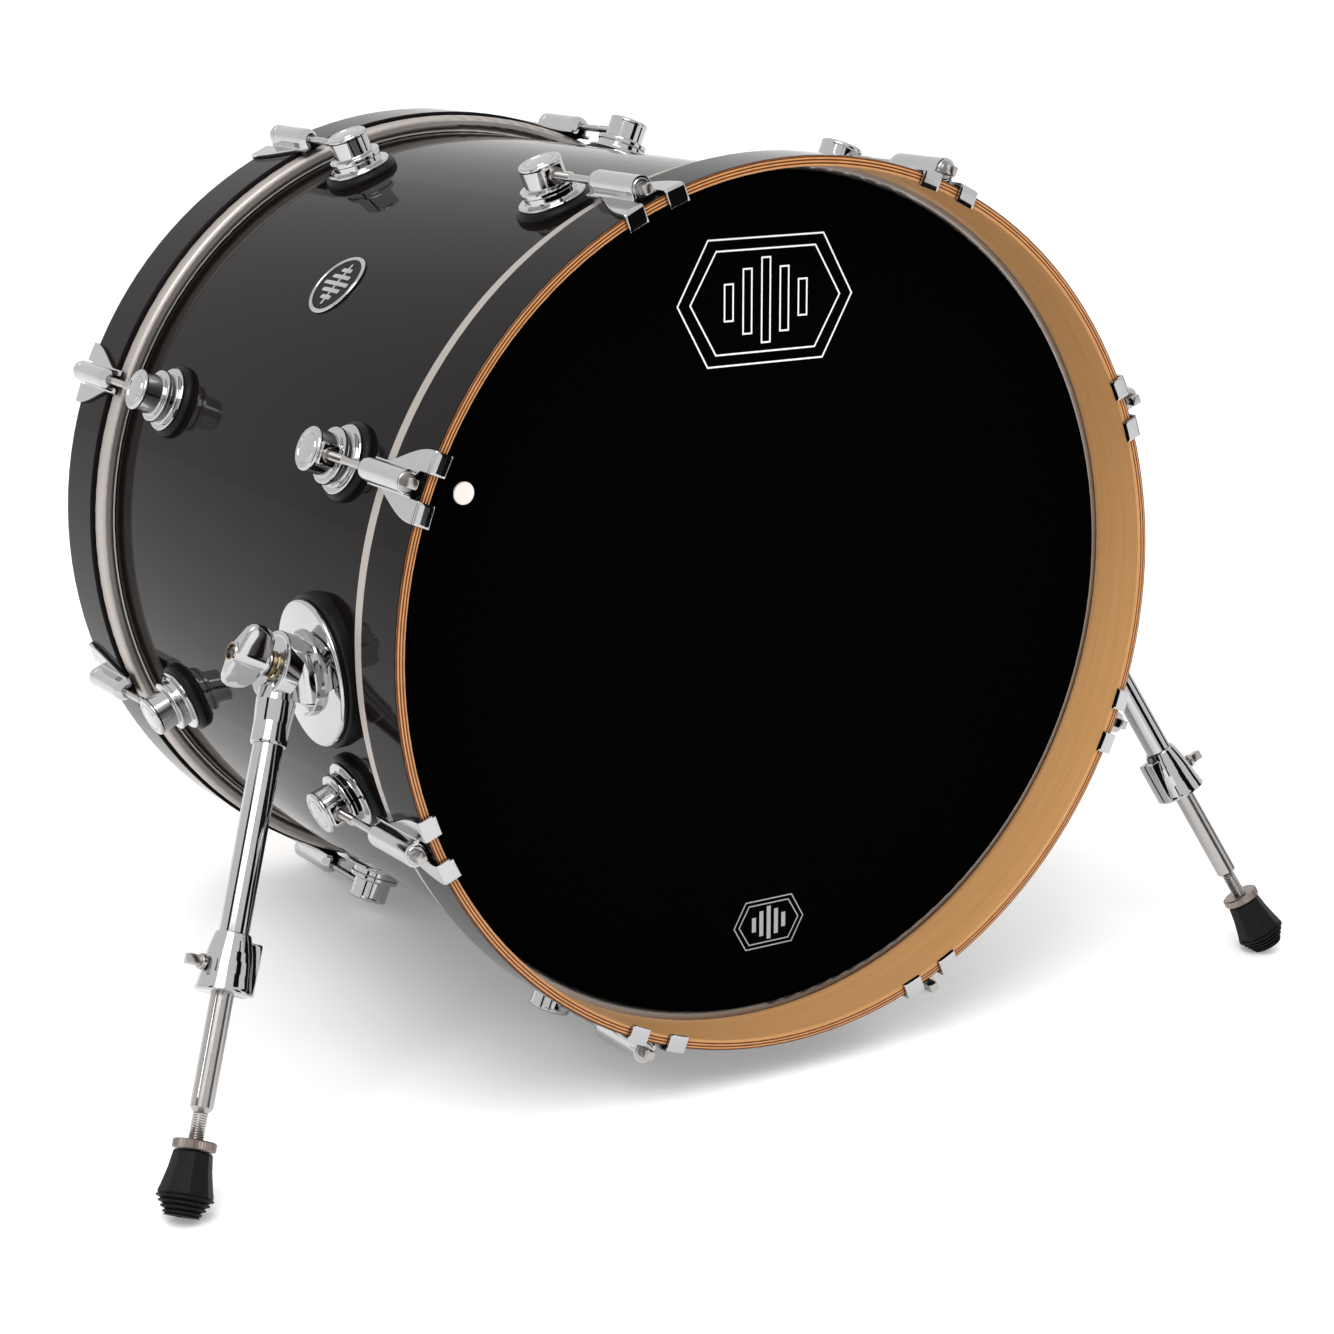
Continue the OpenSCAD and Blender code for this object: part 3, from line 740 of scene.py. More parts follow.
class DRUM_OT_claws(bpy.types.Operator):
    """Model one stamped claw and copy it round both hoops"""

    bl_idname = "drum.claws"
    bl_label = "Claws"

    arc_steps: IntProperty(name="Barrel steps", description="Faces round the barrel", default=20)
    wing_steps: IntProperty(name="Wing steps", description="Faces across a wing", default=9)

    def stations(self):
        """Places along the claw, rear to front, as (along, radius at the hoop)."""
        size = sizes()
        outer = HOOP_R + 0.0009 + size.claw_sheet
        rear = [(HOOP_EDGE - back, outer)
                for back in (0.0630, 0.0626, 0.0618, 0.0604, 0.0585, 0.0560, 0.0535)]
        count = 18
        wing = [(HOOP_EDGE - size.claw_wing * (1 - i / count), outer) for i in range(count)]
        wing = [station for station in wing if station[0] < BARREL_END - 0.001]
        face = HOOP_EDGE + 0.0009 + size.claw_sheet
        front = [(y, outer) for y in (BARREL_END + 0.0001, HOOP_EDGE - 0.006,
                                      HOOP_EDGE - 0.003, HOOP_EDGE - 0.0005)]
        bend = 0.0024
        corner = [(face - bend + bend * math.sin(a), outer - bend + bend * math.cos(a))
                  for a in (math.pi / 8 * k for k in range(5))]
        lip = [(face, outer - bend - (outer - bend - HOOP_R + 0.009) * k / 3) for k in (1, 2, 3)]
        return rear + wing + front + corner + lip

    def section(self, along, radius):
        """Points across the claw at one station, as (height, across)."""
        size = sizes()
        behind = HOOP_EDGE - along
        swell = math.cos(math.pi / 2 * min(1.0, max(0.0, behind / size.claw_wing))) ** 1.4
        width = max(size.barrel_radius + (size.claw_half - size.barrel_radius) * swell,
                    size.claw_gap + 0.00002)
        past = max(0.0, (behind - 0.0555) / 0.0076)
        tip = math.sqrt(max(0.0, 1 - past ** 2)) if past else 1.0
        barrel = size.barrel_radius * max(0.62, tip)
        arc = [(ROD_R + barrel * math.cos(a), barrel * math.sin(a))
               for a in (math.pi * (k / self.arc_steps - 0.5) for k in range(self.arc_steps + 1))]
        side = [(radius + 0.0012, barrel + 0.0001), (radius + 0.0002, barrel + 0.0003),
                (radius - 0.0001, barrel + (size.claw_gap - size.barrel_radius) * 0.7)]
        wing = [size.claw_gap + (width - size.claw_gap) * k / self.wing_steps
                for k in range(self.wing_steps + 1)]
        right = side + [(radius, across) for across in wing]
        left = [(height, -across) for height, across in reversed(right)]
        return left + arc + right

    def sheet(self):
        """The stamped sheet: a grid whose rows are the stations and whose columns cross it."""
        size = sizes()
        rows = [(y, r, self.section(y, r)) for y, r in self.stations()]
        columns = len(rows[0][2])
        deselect()
        bpy.ops.mesh.primitive_grid_add(x_subdivisions=columns - 1, y_subdivisions=len(rows) - 1,
                                        size=1)
        piece = name_piece("claw")
        for row, (y, r, points) in enumerate(rows):
            for column, (height, across) in enumerate(points):
                drop = height - math.sqrt(max(0.0, height ** 2 - across ** 2)) \
                    if abs(across) >= size.claw_gap * 0.99 else 0.0
                piece.data.vertices[row * columns + column].co = (height - drop, y, across)
        edit(piece)
        bpy.ops.mesh.select_mode(type="FACE")
        bpy.ops.mesh.select_all(action="DESELECT")
        bpy.ops.object.mode_set(mode="OBJECT")
        for face in piece.data.polygons:
            face.select = face.center.y > BARREL_END and abs(face.center.z) < size.claw_gap
        bpy.ops.object.mode_set(mode="EDIT")
        bpy.ops.mesh.delete(type="FACE")
        bpy.ops.mesh.select_mode(type="VERT")
        bpy.ops.mesh.select_all(action="SELECT")
        bpy.ops.mesh.remove_doubles(threshold=5e-6)
        bpy.ops.mesh.dissolve_degenerate(threshold=1e-6)
        bpy.ops.mesh.normals_make_consistent(inside=False)
        bpy.ops.object.mode_set(mode="OBJECT")
        top = max(piece.data.polygons, key=lambda face: face.center.x)
        if top.normal.x < 0:
            piece.data.flip_normals()
        apply_modifier(piece, "SOLIDIFY", thickness=size.claw_sheet, offset=-1.0,
                       use_even_offset=True)
        round_edges(piece, 0.0004, 2, 50)
        return piece

    def mouth(self):
        """The barrel's front: a thick rim round the seat of the rod's head."""
        end, wall = BARREL_END, sizes().barrel_radius + 0.0001
        piece = turned("claw mouth", [
            (0.0034, end - 0.0065), (wall - 0.0006, end - 0.0065), (wall, end - 0.0059),
            (wall, end - 0.0004), (wall - 0.0003, end), (wall - 0.0009, end),
            (wall - 0.0009, end - 0.0026), (0.0034, end - 0.0026)], 48, ring=True)
        place(piece, Matrix.Translation((ROD_R, 0, 0)) @ TO_Y)
        edit(piece)
        bpy.ops.mesh.select_all(action="SELECT")
        bpy.ops.mesh.bisect(plane_co=(HOOP_R + 0.0011, 0, 0), plane_no=(1, 0, 0),
                            use_fill=True, clear_inner=True)
        bpy.ops.object.mode_set(mode="OBJECT")
        return piece

    def execute(self, context):
        claw = smooth(join("claw", [self.sheet(), self.mouth()]), 40)
        for end, number, matrix in lug_places():
            finish(copy_of(claw, f"{end}_claw_{number}", matrix), FINISHES["chrome"],
                   "chrome", "drum", f"{end}_claws")
        bpy.data.objects.remove(claw)
        return {"FINISHED"}


class DRUM_OT_tension_rods(bpy.types.Operator):
    """Model one key rod with its thread and square head, and copy it to each lug"""

    bl_idname = "drum.tension_rods"
    bl_label = "Tension rods"

    def rod(self):
        size = sizes()
        start, head = 0.1309, 0.2536
        crest, root, pitch = size.rod_radius, size.rod_radius - 0.0004, 0.00115
        turns = 36
        profile = [(root - 0.0006, start)]
        for k in range(turns):
            foot = start + 0.0006 + k * pitch
            profile += [(root, foot), (crest, foot + pitch / 2)]
        shank = size.rod_radius - 0.00035
        profile += [(shank, start + 0.0009 + turns * pitch), (shank, head - 0.0012),
                    (0.0034, head - 0.0004), (0.0058, head), (0.0063, head + 0.0004),
                    (0.0063, head + 0.0016), (0.0058, head + 0.0021), (0.0044, head + 0.0022)]
        shaft = turned("rod", profile, 20)
        half = size.key_square / 2
        key = block("key", (-half, -half, head + 0.0020), (half, half, head + 0.0101), 0.0006)
        tip = turned("key tip", [(half * 1.42, head + 0.0015), (half * 1.42, head + 0.0088),
                                 (half * 1.18, head + 0.0098), (half * 0.8, head + 0.0102)], 32)
        combine(key, tip, "INTERSECT")
        rod = smooth(join("rod", [shaft, key]), 35)
        return place(rod, Matrix.Translation((ROD_R, 0, 0)) @ TO_Y)

    def execute(self, context):
        rod = self.rod()
        for end, number, matrix in lug_places():
            node = f"{end}_rod_{number}"
            finish(copy_of(rod, node + "_piece", matrix), FINISHES["steel"], "steel", node, node)
        bpy.data.objects.remove(rod)
        return {"FINISHED"}


class DRUM_OT_badge(bpy.types.Operator):
    """Model the round badge with its rim, textured field and raised bars, and the head's eyelet"""

    bl_idname = "drum.badge"
    bl_label = "Badge and eyelet"

    def execute(self, context):
        size = sizes()
        radius = size.badge_radius
        angle = math.radians(134.5)
        here = DRUM @ Matrix.Rotation(-angle, 4, "Y")

        def on_shell(piece):
            """Bends a piece made flat on the shell's crown to the shell's curve."""
            place(piece, TO_X)
            for vertex in piece.data.vertices:
                drop = SHELL_R - math.sqrt(SHELL_R ** 2 - vertex.co.z ** 2)
                vertex.co.x += SHELL_R - drop
            return place(piece, here)

        rim = turned("badge_rim", [
            (radius - 0.0030, 0.0001), (radius - 0.0004, 0.0001), (radius, 0.0006),
            (radius, 0.0013), (radius - 0.0005, 0.0018), (radius - 0.0011, 0.0019),
            (radius - 0.0016, 0.0017), (radius - 0.0019, 0.0013), (radius - 0.0023, 0.0013),
            (radius - 0.0026, 0.0016), (radius - 0.0030, 0.0014)], 96, ring=True)
        finish(smooth(on_shell(rim), 50), FINISHES["chrome"], "chrome", "drum", "badge")
        field = turned("badge_field", [(radius - 0.0028, 0.0001), (radius - 0.0028, 0.0010),
                                       (radius * 0.6, 0.00105), (0.004, 0.0011)], 96)
        finish(smooth(on_shell(field), 50), FINISHES["field"], "chrome", "drum", "badge")
        bars = []
        tall = (0.0065, 0.0115, 0.0160, 0.0115, 0.0065)
        for k, high in enumerate(tall):
            across = (k - 2) * 0.0058
            bars.append(block("bar", (across - 0.0017, -high, 0.0009),
                              (across + 0.0017, high, 0.0017), 0.0005))
        bars.append(block("bar", (-0.0175, -0.0010, 0.0009), (0.0175, 0.0010, 0.0015), 0.0004))
        emblem = join("badge_emblem", bars)
        apply_modifier(emblem, "SUBSURF", subdivision_type="SIMPLE", levels=1, render_levels=1)
        finish(smooth(on_shell(emblem), 40), FINISHES["chrome"], "chrome", "drum", "badge")
        eyelet = turned("eyelet", [(0.0072, 0.0), (0.0072, 0.0005), (0.0069, 0.0009),
                                   (0.0063, 0.0011), (0.0057, 0.0009), (0.0053, 0.0007),
                                   (0.001, 0.0007)], 48)
        low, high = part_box("head_eyelet")
        spot = DRUM.inverted() @ ((low + high) / 2)
        spot.y += 0.00055
        place(eyelet, DRUM @ Matrix.Translation(spot) @ TO_Y @ HALF_TURN)
        finish(smooth(eyelet, 50), FINISHES["eyelet"], "pale_plastic", "drum", "head_eyelet")
        return {"FINISHED"}


class DRUM_OT_head_print(bpy.types.Operator):
    """Model the thin prints on the front head: an outlined hexagon round five bars"""

    bl_idname = "drum.head_print"
    bl_label = "Head prints"

    def ribbon(self, outline, width):
        """A closed line of that width along an outline about its own centre."""
        deselect()
        bpy.ops.mesh.primitive_circle_add(vertices=len(outline), radius=1, fill_type="NGON")
        piece = name_piece("ribbon")
        for vertex, (x, y) in zip(piece.data.vertices, outline):
            vertex.co = (x, y, 0)
        edit(piece)
        bpy.ops.mesh.select_all(action="SELECT")
        bpy.ops.mesh.inset(thickness=width, use_even_offset=True)
        bpy.ops.mesh.delete(type="ONLY_FACE")
        bpy.ops.object.mode_set(mode="OBJECT")
        return piece

    def emblem(self, name, wide, line, solid):
        tall = wide * 0.30
        hexagon = [(wide / 2, 0), (wide * 0.33, tall), (-wide * 0.33, tall), (-wide / 2, 0),
                   (-wide * 0.33, -tall), (wide * 0.33, -tall)]
        parts = [self.ribbon(hexagon, line)]
        inner = [(x * 0.86, y * 0.82) for x, y in hexagon]
        parts.append(self.ribbon(inner, line))
        for k, share in enumerate((0.30, 0.52, 0.68, 0.52, 0.30)):
            across, arm, reach = (k - 2) * wide * 0.105, wide * 0.028, tall * share
            bar = [(across + arm, reach), (across - arm, reach),
                   (across - arm, -reach), (across + arm, -reach)]
            if solid:
                bpy.ops.mesh.primitive_plane_add(size=1)
                plate = name_piece("bar")
                for vertex, point in zip(plate.data.vertices, [bar[2], bar[3], bar[1], bar[0]]):
                    vertex.co = (*point, 0)
                parts.append(plate)
            else:
                parts.append(self.ribbon(bar, line))
        return join(name, parts)

    def execute(self, context):
        wide = sizes().emblem_width
        plane = -0.22310
        turn = Matrix.Rotation(math.radians(90), 4, "X")
        for name, width, line, solid, across, up, tint in (
                ("head_print", wide, 0.0011, False, -0.002, 0.200, "print"),
                ("small_print", wide * 0.42, 0.0008, True, 0.004, -0.222, "small_print")):
            piece = self.emblem(name, width, line, solid)
            place(piece, DRUM @ Matrix.Translation((across, plane, up)) @ turn)
            apply_modifier(piece, "SOLIDIFY", thickness=0.00006, offset=1.0)
            finish(piece, FINISHES[tint], "black_film", "drum")
        return {"FINISHED"}


# ---- spurs ------------------------------------------------------------------------------------

FLAT_TO_X = Matrix(((0, 0, 1, 0), (1, 0, 0, 0), (0, 1, 0, 0), (0, 0, 0, 1)))
BOLTS = ((-0.014, -0.030), (0.014, -0.030), (0, 0.034))      # places in a plate's frame
BOLT_R = 0.003

def oval(a, b, count=72):
    """Points of an oval with those half axes."""
    return [(a * math.cos(math.tau * k / count), b * math.sin(math.tau * k / count))
            for k in range(count)]


def plate_frame():
    """The right spur plate's frame: X outwards from the shell."""
    size = spur()
    return DRUM @ Matrix.Rotation(size.plate_tilt, 4, "Y") @ Matrix.Translation(
        (0, -size.plate_place, 0))


class DRUM_OT_brackets(bpy.types.Operator):
    """Model the spur bracket: gasket, oval plate, hollowed housing with a rim, and fixed disc"""

    bl_idname = "drum.brackets"
    bl_label = "Spur brackets"

    def gasket(self):
        """The rubber pad that fills the space between the flat plate and the round shell."""
        size = spur()
        piece = prism("gasket", oval(size.plate_wide + 0.0020, size.plate_tall + 0.0028, 96),
                      size.plate_back - 0.0160, size.plate_back - GAP)
        round_edges(piece, 0.0016, 3, 40)
        place(piece, plate_frame() @ FLAT_TO_X)
        for y, z in BOLTS:
            drill(piece, BOLT_R + GAP, 0.26, 0.30,
                  plate_frame() @ Matrix.Translation((0, y, z)) @ TO_X, 24)
        drill(piece, SHELL_R + GAP, -0.22, -0.05, DRUM @ TO_Y, 360)
        return smooth(piece, 34)

    def housing(self):
        """The raised part between the plate and the pivot: an oval that turns into a disc."""
        size = spur()
        piece = turned("housing", [(1, k / 12) for k in range(13)], 72)
        base, back = plate_frame(), size.plate_back + size.plate_thickness - 0.0015
        for vertex in piece.data.vertices:
            across, up, share = vertex.co
            foot = base @ Vector((back, 0.0262 * across + 0.006, 0.0290 * up - 0.001))
            end = PIN_FRAME @ Vector((-0.0200 * up, 0.0200 * across, -0.0100))
            waist = 1 - 0.14 * math.sin(math.pi * share)
            middle_line = (base @ Vector((back, 0.006, -0.001))).lerp(
                PIN_FRAME @ Vector((0, 0, -0.0100)), share)
            vertex.co = middle_line + (foot.lerp(end, share) - middle_line) * waist
        disc = turned("fixed disc", [(0.0200, -0.0112), (0.0202, -0.0108), (0.0202, -0.0040),
                                     (0.0196, -0.0033)], 72)
        place(disc, PIN_FRAME)
        return combine(piece, disc, "UNION")

    def crescent(self):
        """The raised rim that curves round the front of the housing."""
        size = spur()
        out = size.plate_back + size.plate_thickness
        piece = turned("crescent", [
            (0.0262, -0.001), (0.0294, -0.001), (0.0288, 0.0024), (0.0284, 0.0048),
            (0.0278, 0.0054), (0.0270, 0.0050), (0.0266, 0.0040)], 96, ring=True)
        place(piece, plate_frame() @ Matrix.Translation((out, 0.0075, 0)) @ TO_X)
        rear = block("rear cut", (out - 0.02, 0.0040, -0.1), (out + 0.02, 0.1, 0.1))
        place(rear, plate_frame())
        return combine(piece, rear, "DIFFERENCE")

    def execute(self, context):
        size = spur()
        back, thick = size.plate_back, size.plate_thickness
        plate = prism("plate", oval(size.plate_wide, size.plate_tall, 96), back, back + thick)
        round_edges(plate, 0.0019, 3, 40)
        place(plate, plate_frame() @ FLAT_TO_X)
        arm = self.housing()
        hollow = turned("hollow", [(0.0080, -0.022), (0.0125, -0.018), (0.0125, 0.014),
                                   (0.0080, 0.018)], 48)
        place(hollow, plate_frame() @ Matrix.Translation((back + 0.0172, -0.0185, 0.001)))
        combine(arm, hollow, "DIFFERENCE")
        round_edges(arm, 0.0006, 2, 40)
        screw = turned("screw", [(0.0048, 0), (0.0048, 0.0016), (0.0042, 0.0022), (0.0022, 0.0022),
                                 (0.0022, 0.0010), (0.0010, 0.0010)], 24)
        place(screw, plate_frame() @ Matrix.Translation((back + thick, -0.0135, 0.0)) @ TO_X)
        lip = self.crescent()
        pin = turned("pin", [(0.0045, -0.012), (0.0045, 0.0318), (0.0040, 0.0326),
                             (0.0020, 0.0326)], 32)
        place(pin, PIN_FRAME)
        bracket = smooth(join("bracket", [plate, arm, pin, screw, lip]), 34)
        finish_sides(bracket, "bracket", "chrome", "chrome", "drum", "{}_bracket")
        finish_sides(self.gasket(), "gasket", "rubber", "black_rubber", "drum", "spur_gaskets")
        return {"FINISHED"}


class DRUM_OT_knuckles(bpy.types.Operator):
    """Model the leg's knuckle: a dished disc and the socket of the leg tube"""

    bl_idname = "drum.knuckles"
    bl_label = "Spur knuckles"

    def execute(self, context):
        size = spur()
        disc_r, sleeve_r, rim = size.knuckle_radius, size.socket_radius, size.socket_end
        disc = turned("disc", [
            (disc_r - 0.0008, -0.0030), (disc_r, -0.0022), (disc_r, 0.0078),
            (disc_r - 0.0004, 0.0086), (disc_r - 0.0012, 0.0090), (disc_r - 0.0030, 0.0090),
            (disc_r - 0.0040, 0.0084), (0.0105, 0.0082), (0.0098, 0.0088), (0.0046, 0.0088)], 72)
        place(disc, PIN_FRAME)
        sleeve = turned("sleeve", [
            (0.0050, 0.0085), (0.0095, 0.0100), (0.0122, 0.0150), (0.0127, 0.0230),
            (0.0122, 0.0300), (sleeve_r, 0.0370), (sleeve_r, rim - 0.0014),
            (sleeve_r - 0.0004, rim - 0.0003), (sleeve_r - 0.0010, rim)], 64)
        place(sleeve, LEG_FRAME)
        away = turned("away", [(disc_r + 0.002, -0.04), (disc_r + 0.002, -0.0030)], 64)
        place(away, PIN_FRAME)
        combine(sleeve, away, "DIFFERENCE")
        combine(disc, sleeve, "UNION")
        drill(disc, PIN_BORE, -0.02, 0.04, PIN_FRAME)
        drill(disc, size.tube_radius + FIT, 0.0225, 0.07, LEG_FRAME)
        finish_sides(smooth(disc, 34), "knuckle", "chrome", "chrome", "{}_leg", "{}_knuckle")
        return {"FINISHED"}


class DRUM_OT_wing_nuts(bpy.types.Operator):
    """Model the wing nut: a tapered hub with two swept lobes and a bore"""

    bl_idname = "drum.wing_nuts"
    bl_label = "Wing nuts"

    def execute(self, context):
        start = 0.0120
        hub = turned("hub", [(0.0080, start), (0.0087, start + 0.0007), (0.0086, start + 0.0026),
                             (0.0080, start + 0.0038), (0.0074, start + 0.0170),
                             (0.0068, start + 0.0252), (0.0060, start + 0.0260)], 48)
        wing = [(0.0, 0.0015), (0.0090, 0.0015), (0.0165, 0.0027), (0.0206, 0.0066),
                (0.0226, 0.0120), (0.0228, 0.0170), (0.0212, 0.0210), (0.0180, 0.0230),
                (0.0130, 0.0236), (0.0060, 0.0245), (0.0, 0.0245)]
        for turn in (0, math.pi):
            lobe = prism("lobe", [(x, y + start) for x, y in wing], -0.0028, 0.0028)
            for vertex in lobe.data.vertices:
                vertex.co.z *= 1 + 1.5 * (1 - vertex.co.x / 0.0228)
            round_edges(lobe, 0.0024, 4, 50)
            place(lobe, Matrix.Rotation(math.radians(19) + turn, 4, "Z")
                  @ Matrix.Rotation(math.radians(90), 4, "X"))
            combine(hub, lobe, "UNION")
        drill(hub, PIN_BORE, 0.0, 0.06, None, 32)
        liner = turned("liner", [(PIN_BORE, start + 0.0230), (0.0056, start + 0.0230),
                                 (0.0056, start + 0.0262), (0.0052, start + 0.0265),
                                 (PIN_BORE, start + 0.0262)], 48, ring=True)
        finish_sides(place(smooth(liner, 30), PIN_FRAME), "nut_liner", "brass", "brass",
                     "{}_wing_nut", "")
        finish_sides(place(smooth(hub, 40), PIN_FRAME), "wing_nut", "chrome", "chrome",
                     "{}_wing_nut", "{}_wing_nut")
        return {"FINISHED"}


class DRUM_OT_clamps(bpy.types.Operator):
    """Model the memory clamp on the leg tube with its key screw"""

    bl_idname = "drum.clamps"
    bl_label = "Leg clamps"

    def execute(self, context):
        size = spur()
        top, high = size.clamp_place, 0.037
        bell = turned("bell", [
            (0.0108, top), (0.0114, top + 0.0006), (0.0126, top + 0.0050), (0.0142, top + 0.0120),
            (0.0152, top + 0.0180), (0.0160, top + 0.0260), (0.0172, top + 0.0340),
            (0.0177, top + 0.0356), (0.0176, top + 0.0366), (0.0170, top + high)], 64)
        ear = block("ear", (-0.0176, -0.0085, top + 0.0040), (0, 0.0085, top + high - 0.0002),
                    0.0012)
        combine(bell, ear, "UNION")
        drill(bell, size.tube_radius + FIT, top - 0.001, top + 0.0255)
        drill(bell, size.rod_radius + FIT, top, top + 0.05)
        slot = block("slot", (-0.02, -0.0009, top - 0.001), (-0.008, 0.0009, top + 0.05))
        combine(bell, slot, "DIFFERENCE")
        screw_frame = Matrix.Translation((0, 0, top + 0.021)) @ TO_X
        drill(bell, 0.0031, -0.001, 0.05, screw_frame, 24)
        finish_sides(place(smooth(bell, 34), LEG_FRAME), "clamp", "chrome", "chrome",
                     "{}_leg", "{}_clamp")
        half = sizes().key_square / 2
        shaft = turned("screw", [(0.0028, 0.011), (0.0030, 0.0115), (0.0030, 0.0164),
                                 (0.0046, 0.0166), (0.0050, 0.0169), (0.0050, 0.0192),
                                 (0.0046, 0.0196), (0.0036, 0.0197)], 32)
        key = block("key", (-half, -half, 0.0194), (half, half, 0.0285), 0.0006)
        screw = smooth(join("clamp_screw", [shaft, key]), 34)
        finish_sides(place(screw, LEG_FRAME @ screw_frame), "clamp_screw", "steel", "steel",
                     "{}_clamp_screw", "{}_clamp_screw")
        return {"FINISHED"}


class DRUM_OT_leg_rods(bpy.types.Operator):
    """Model the sliding rod with its groove, shoulder, thread and spike"""

    bl_idname = "drum.leg_rods"
    bl_label = "Leg rods"

    def execute(self, context):
        size = spur()
        body, crest = size.rod_radius, size.thread_radius
        root, pitch, turns = crest - 0.00055, 0.0015, 25
        end = size.rod_end
        profile = [(body - 0.0006, 0.090), (body, 0.0906), (body, end - 0.0030),
                   (crest, end - 0.0002)]
        for k in range(turns):
            foot = end + k * pitch
            profile += [(root, foot + 0.0004), (crest, foot + 0.0009)]
        profile += [(crest, end + 0.0405), (0.0010, end + 0.0550)]
        rod = turned("leg_rod", profile, 40)
        groove = block("groove", (body - 0.0009, -0.0011, 0.130),
                       (body + 0.004, 0.0011, end - 0.008), 0.0003)
        place(groove, Matrix.Rotation(math.radians(35), 4, "Z"))
        combine(rod, groove, "DIFFERENCE")
        finish_sides(place(smooth(rod, 34), LEG_FRAME), "leg_rod", "steel", "steel",
                     "{}_leg_rod", "{}_leg_rod")
        return {"FINISHED"}


class DRUM_OT_feet(bpy.types.Operator):
    """Model the knurled lock nut and the ribbed rubber foot"""

    bl_idname = "drum.feet"
    bl_label = "Feet and lock nuts"

    def lock_nut(self):
        """A ring whose rim has a knurl of small ridges."""
        size = spur()
        teeth = 48
        at, thick, rim = size.lock_place, 0.006, 0.0134
        bore = size.thread_radius + FIT
        piece = turned("lock_nut", [
            (bore, at + 0.0004), (bore + 0.0004, at), (rim - 0.0012, at), (rim, at + 0.0008),
            (rim, at + thick - 0.0008), (rim - 0.0012, at + thick), (bore + 0.0004, at + thick),
            (bore, at + thick - 0.0004)], teeth * 2, ring=True)
        for vertex in piece.data.vertices:
            around = math.atan2(vertex.co.y, vertex.co.x)
            radius = math.hypot(vertex.co.x, vertex.co.y)
            if radius > rim - 0.0003:
                ridge = 1 - 0.035 * (1 - math.cos(around * teeth)) / 2
                vertex.co.x *= ridge
                vertex.co.y *= ridge
        return place(smooth(piece, 25), LEG_FRAME)

    def foot(self):
        """An eight-sided flared body over four stepped ribs, cut flat at the floor."""
        size = spur()
        at = size.lock_place + 0.0065
        bore = size.thread_radius + FIT
        body = turned("foot", [(0.0112, at), (0.0122, at + 0.0010), (0.0124, at + 0.0030),
                               (0.0136, at + 0.0110), (0.0160, at + 0.0215),
                               (0.0172, at + 0.0255), (0.0170, at + 0.0268),
                               (0.0150, at + 0.0272)], 8)
        place(body, Matrix.Rotation(math.radians(22.5), 4, "Z"))
        round_edges(body, 0.0011, 3, 20)
        ribs = [(0.0150, at + 0.0266)]
        for k in range(4):
            rib, low = 0.0176 - k * 0.0019, at + 0.0270 + k * 0.0030
            ribs += [(rib - 0.0014, low), (rib, low + 0.0004), (rib, low + 0.0016),
                     (rib - 0.0016, low + 0.0020)]
        ribs += [(0.0110, at + 0.0391)]
        base = turned("ribs", ribs, 64)
        combine(body, base, "UNION")
        drill(body, bore, at - 0.01, at + 0.06, None, 40)
        place(body, LEG_FRAME)
        floor = block("floor cut", (0, -1, -0.5), (1, 1, 0))
        combine(body, floor, "DIFFERENCE")
        return smooth(body, 30)

    def execute(self, context):
        finish_sides(self.lock_nut(), "lock_nut", "nickel", "dark_nickel",
                     "{}_lock_nut", "{}_lock_nut")
        finish_sides(self.foot(), "foot", "foot", "black_rubber", "{}_foot", "{}_foot")
        return {"FINISHED"}


# ---- stage ------------------------------------------------------------------------------------


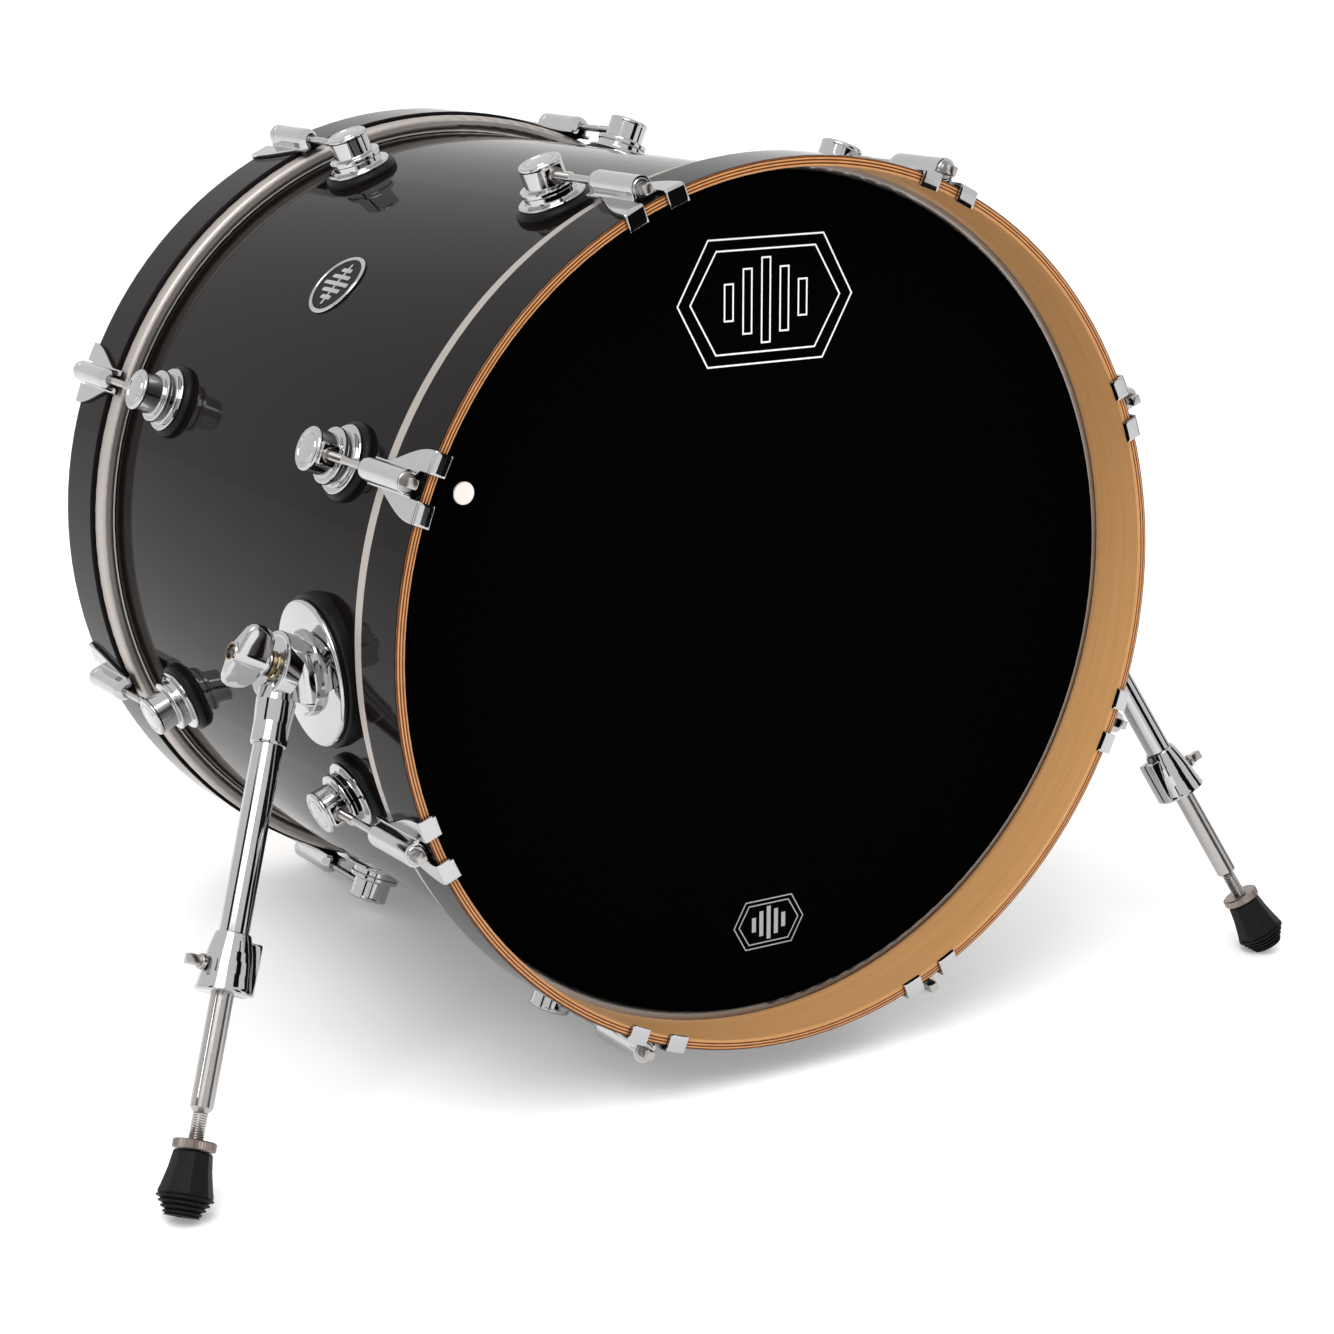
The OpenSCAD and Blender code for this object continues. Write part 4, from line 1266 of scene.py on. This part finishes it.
class DRUM_OT_stage(bpy.types.Operator):
    """Set the pale floor, the soft light and the camera"""

    bl_idname = "drum.stage"
    bl_label = "Stage"

    def light(self, name, place_at, aim_at, width, height, power):
        made = bpy.data.lights.new(name, "AREA")
        made.shape, made.size, made.size_y, made.energy = "RECTANGLE", width, height, power
        holder = bpy.data.objects.new(name, made)
        bpy.context.scene.collection.objects.link(holder)
        holder.location = place_at
        holder.rotation_euler = (Vector(aim_at) - Vector(place_at)).to_track_quat(
            "-Z", "Y").to_euler()

    def floor(self):
        deselect()
        bpy.ops.mesh.primitive_plane_add(size=stage_sizes().floor_size)
        floor = name_piece("floor")
        made = Shader("Studio floor")
        cloud = made.noise(made.place(Matrix.Identity(4)), 3.0, 3.0)
        tint = colours().floor
        made.set(Base_Color=made.mix(cloud, shade(tint, 0.995), tint), Roughness=0.7,
                 Specular_IOR_Level=0.1, Emission_Color=(1, 1, 1, 1), Emission_Strength=0.20)
        floor.data.materials.append(made.material)

    def card(self, name, place_at, aim_at, width, height, value):
        """A flat dark card that shows only in the chrome and the lacquer."""
        deselect()
        bpy.ops.mesh.primitive_plane_add(size=1)
        card = name_piece(name)
        turn = (Vector(aim_at) - Vector(place_at)).to_track_quat("Z", "Y").to_matrix().to_4x4()
        card.data.transform(Matrix.Translation(place_at) @ turn
                            @ Matrix.Diagonal((width, height, 1, 1)))
        made = Shader(name)
        made.set(Base_Color=(value, value, value), Roughness=0.9, Specular_IOR_Level=0.0)
        card.data.materials.append(made.material)
        card.visible_camera = False
        card.visible_shadow = False
        card.visible_diffuse = False

    def sky(self):
        """An even, bright studio all round."""
        world = bpy.data.worlds.new("Studio")
        bpy.context.scene.world = world
        world.use_nodes = True
        back = world.node_tree.nodes["Background"]
        back.inputs["Color"].default_value = (1.0, 0.995, 0.99, 1)
        back.inputs["Strength"].default_value = stage_sizes().fill

    def execute(self, context):
        stage = stage_sizes()
        self.floor()
        self.sky()
        target = Vector((0, 0, 0.3))
        self.light("key", (-1.6, -1.6, 3.2), target, 2.2, 2.2, stage.key_power)
        for name, x, y, width, high in (("card_left", -1.15, -0.30, 0.24, 0.9),
                                        ("card_near", -0.70, -1.05, 0.16, 0.7),
                                        ("card_front", 0.55, -1.30, 0.55, 1.3),
                                        ("card_right", 1.20, -0.45, 0.30, 0.9)):
            self.card(name, (x, y, high / 2), (0, 0, high / 2), width, high, 0.006)
        camera = bpy.data.cameras.new("camera")
        camera.lens, camera.sensor_width = stage.lens, 36.0
        camera.clip_start, camera.clip_end = 0.05, 100.0
        holder = bpy.data.objects.new("camera", camera)
        context.scene.collection.objects.link(holder)
        holder.location = stage.camera_place
        aim = Vector(stage.camera_aim).to_track_quat("-Z", "Y").to_matrix().to_4x4()
        holder.rotation_euler = (aim @ Matrix.Rotation(stage.camera_roll, 4, "Z")).to_euler()
        context.scene.camera = holder
        context.scene.view_settings.view_transform = "Standard"
        return {"FINISHED"}


OPERATORS = (DRUM_OT_wooden_pieces, DRUM_OT_fixed_hardware, DRUM_OT_lugs, DRUM_OT_claws,
             DRUM_OT_tension_rods, DRUM_OT_badge, DRUM_OT_head_print, DRUM_OT_brackets,
             DRUM_OT_knuckles, DRUM_OT_wing_nuts, DRUM_OT_clamps, DRUM_OT_leg_rods,
             DRUM_OT_feet, DRUM_OT_stage)
GROUPS = {"bass_drum_sizes": DrumSizes, "bass_drum_spur": SpurSizes,
          "bass_drum_colours": Colours, "bass_drum_stage": StageSizes}


class DRUM_PT_panel(bpy.types.Panel):
    """Lists the steps that build the drum"""

    bl_idname = "DRUM_PT_panel"
    bl_label = "Bass Drum"
    bl_space_type = "VIEW_3D"
    bl_region_type = "UI"
    bl_category = "Drum"

    def draw(self, context):
        for operator in OPERATORS:
            self.layout.operator(operator.bl_idname)


def register():
    for group_class in GROUPS.values():
        bpy.utils.register_class(group_class)
    for name, group_class in GROUPS.items():
        setattr(bpy.types.Scene, name, PointerProperty(type=group_class))
    for made in (*OPERATORS, DRUM_PT_panel):
        bpy.utils.register_class(made)


def unregister():
    for made in (*OPERATORS, DRUM_PT_panel):
        bpy.utils.unregister_class(made)
    for name, group_class in GROUPS.items():
        delattr(bpy.types.Scene, name)
        bpy.utils.unregister_class(group_class)


def main():
    register()
    for operator in OPERATORS:
        group, name = operator.bl_idname.split(".")
        getattr(getattr(bpy.ops, group), name)()


if __name__ == "__main__":
    main()
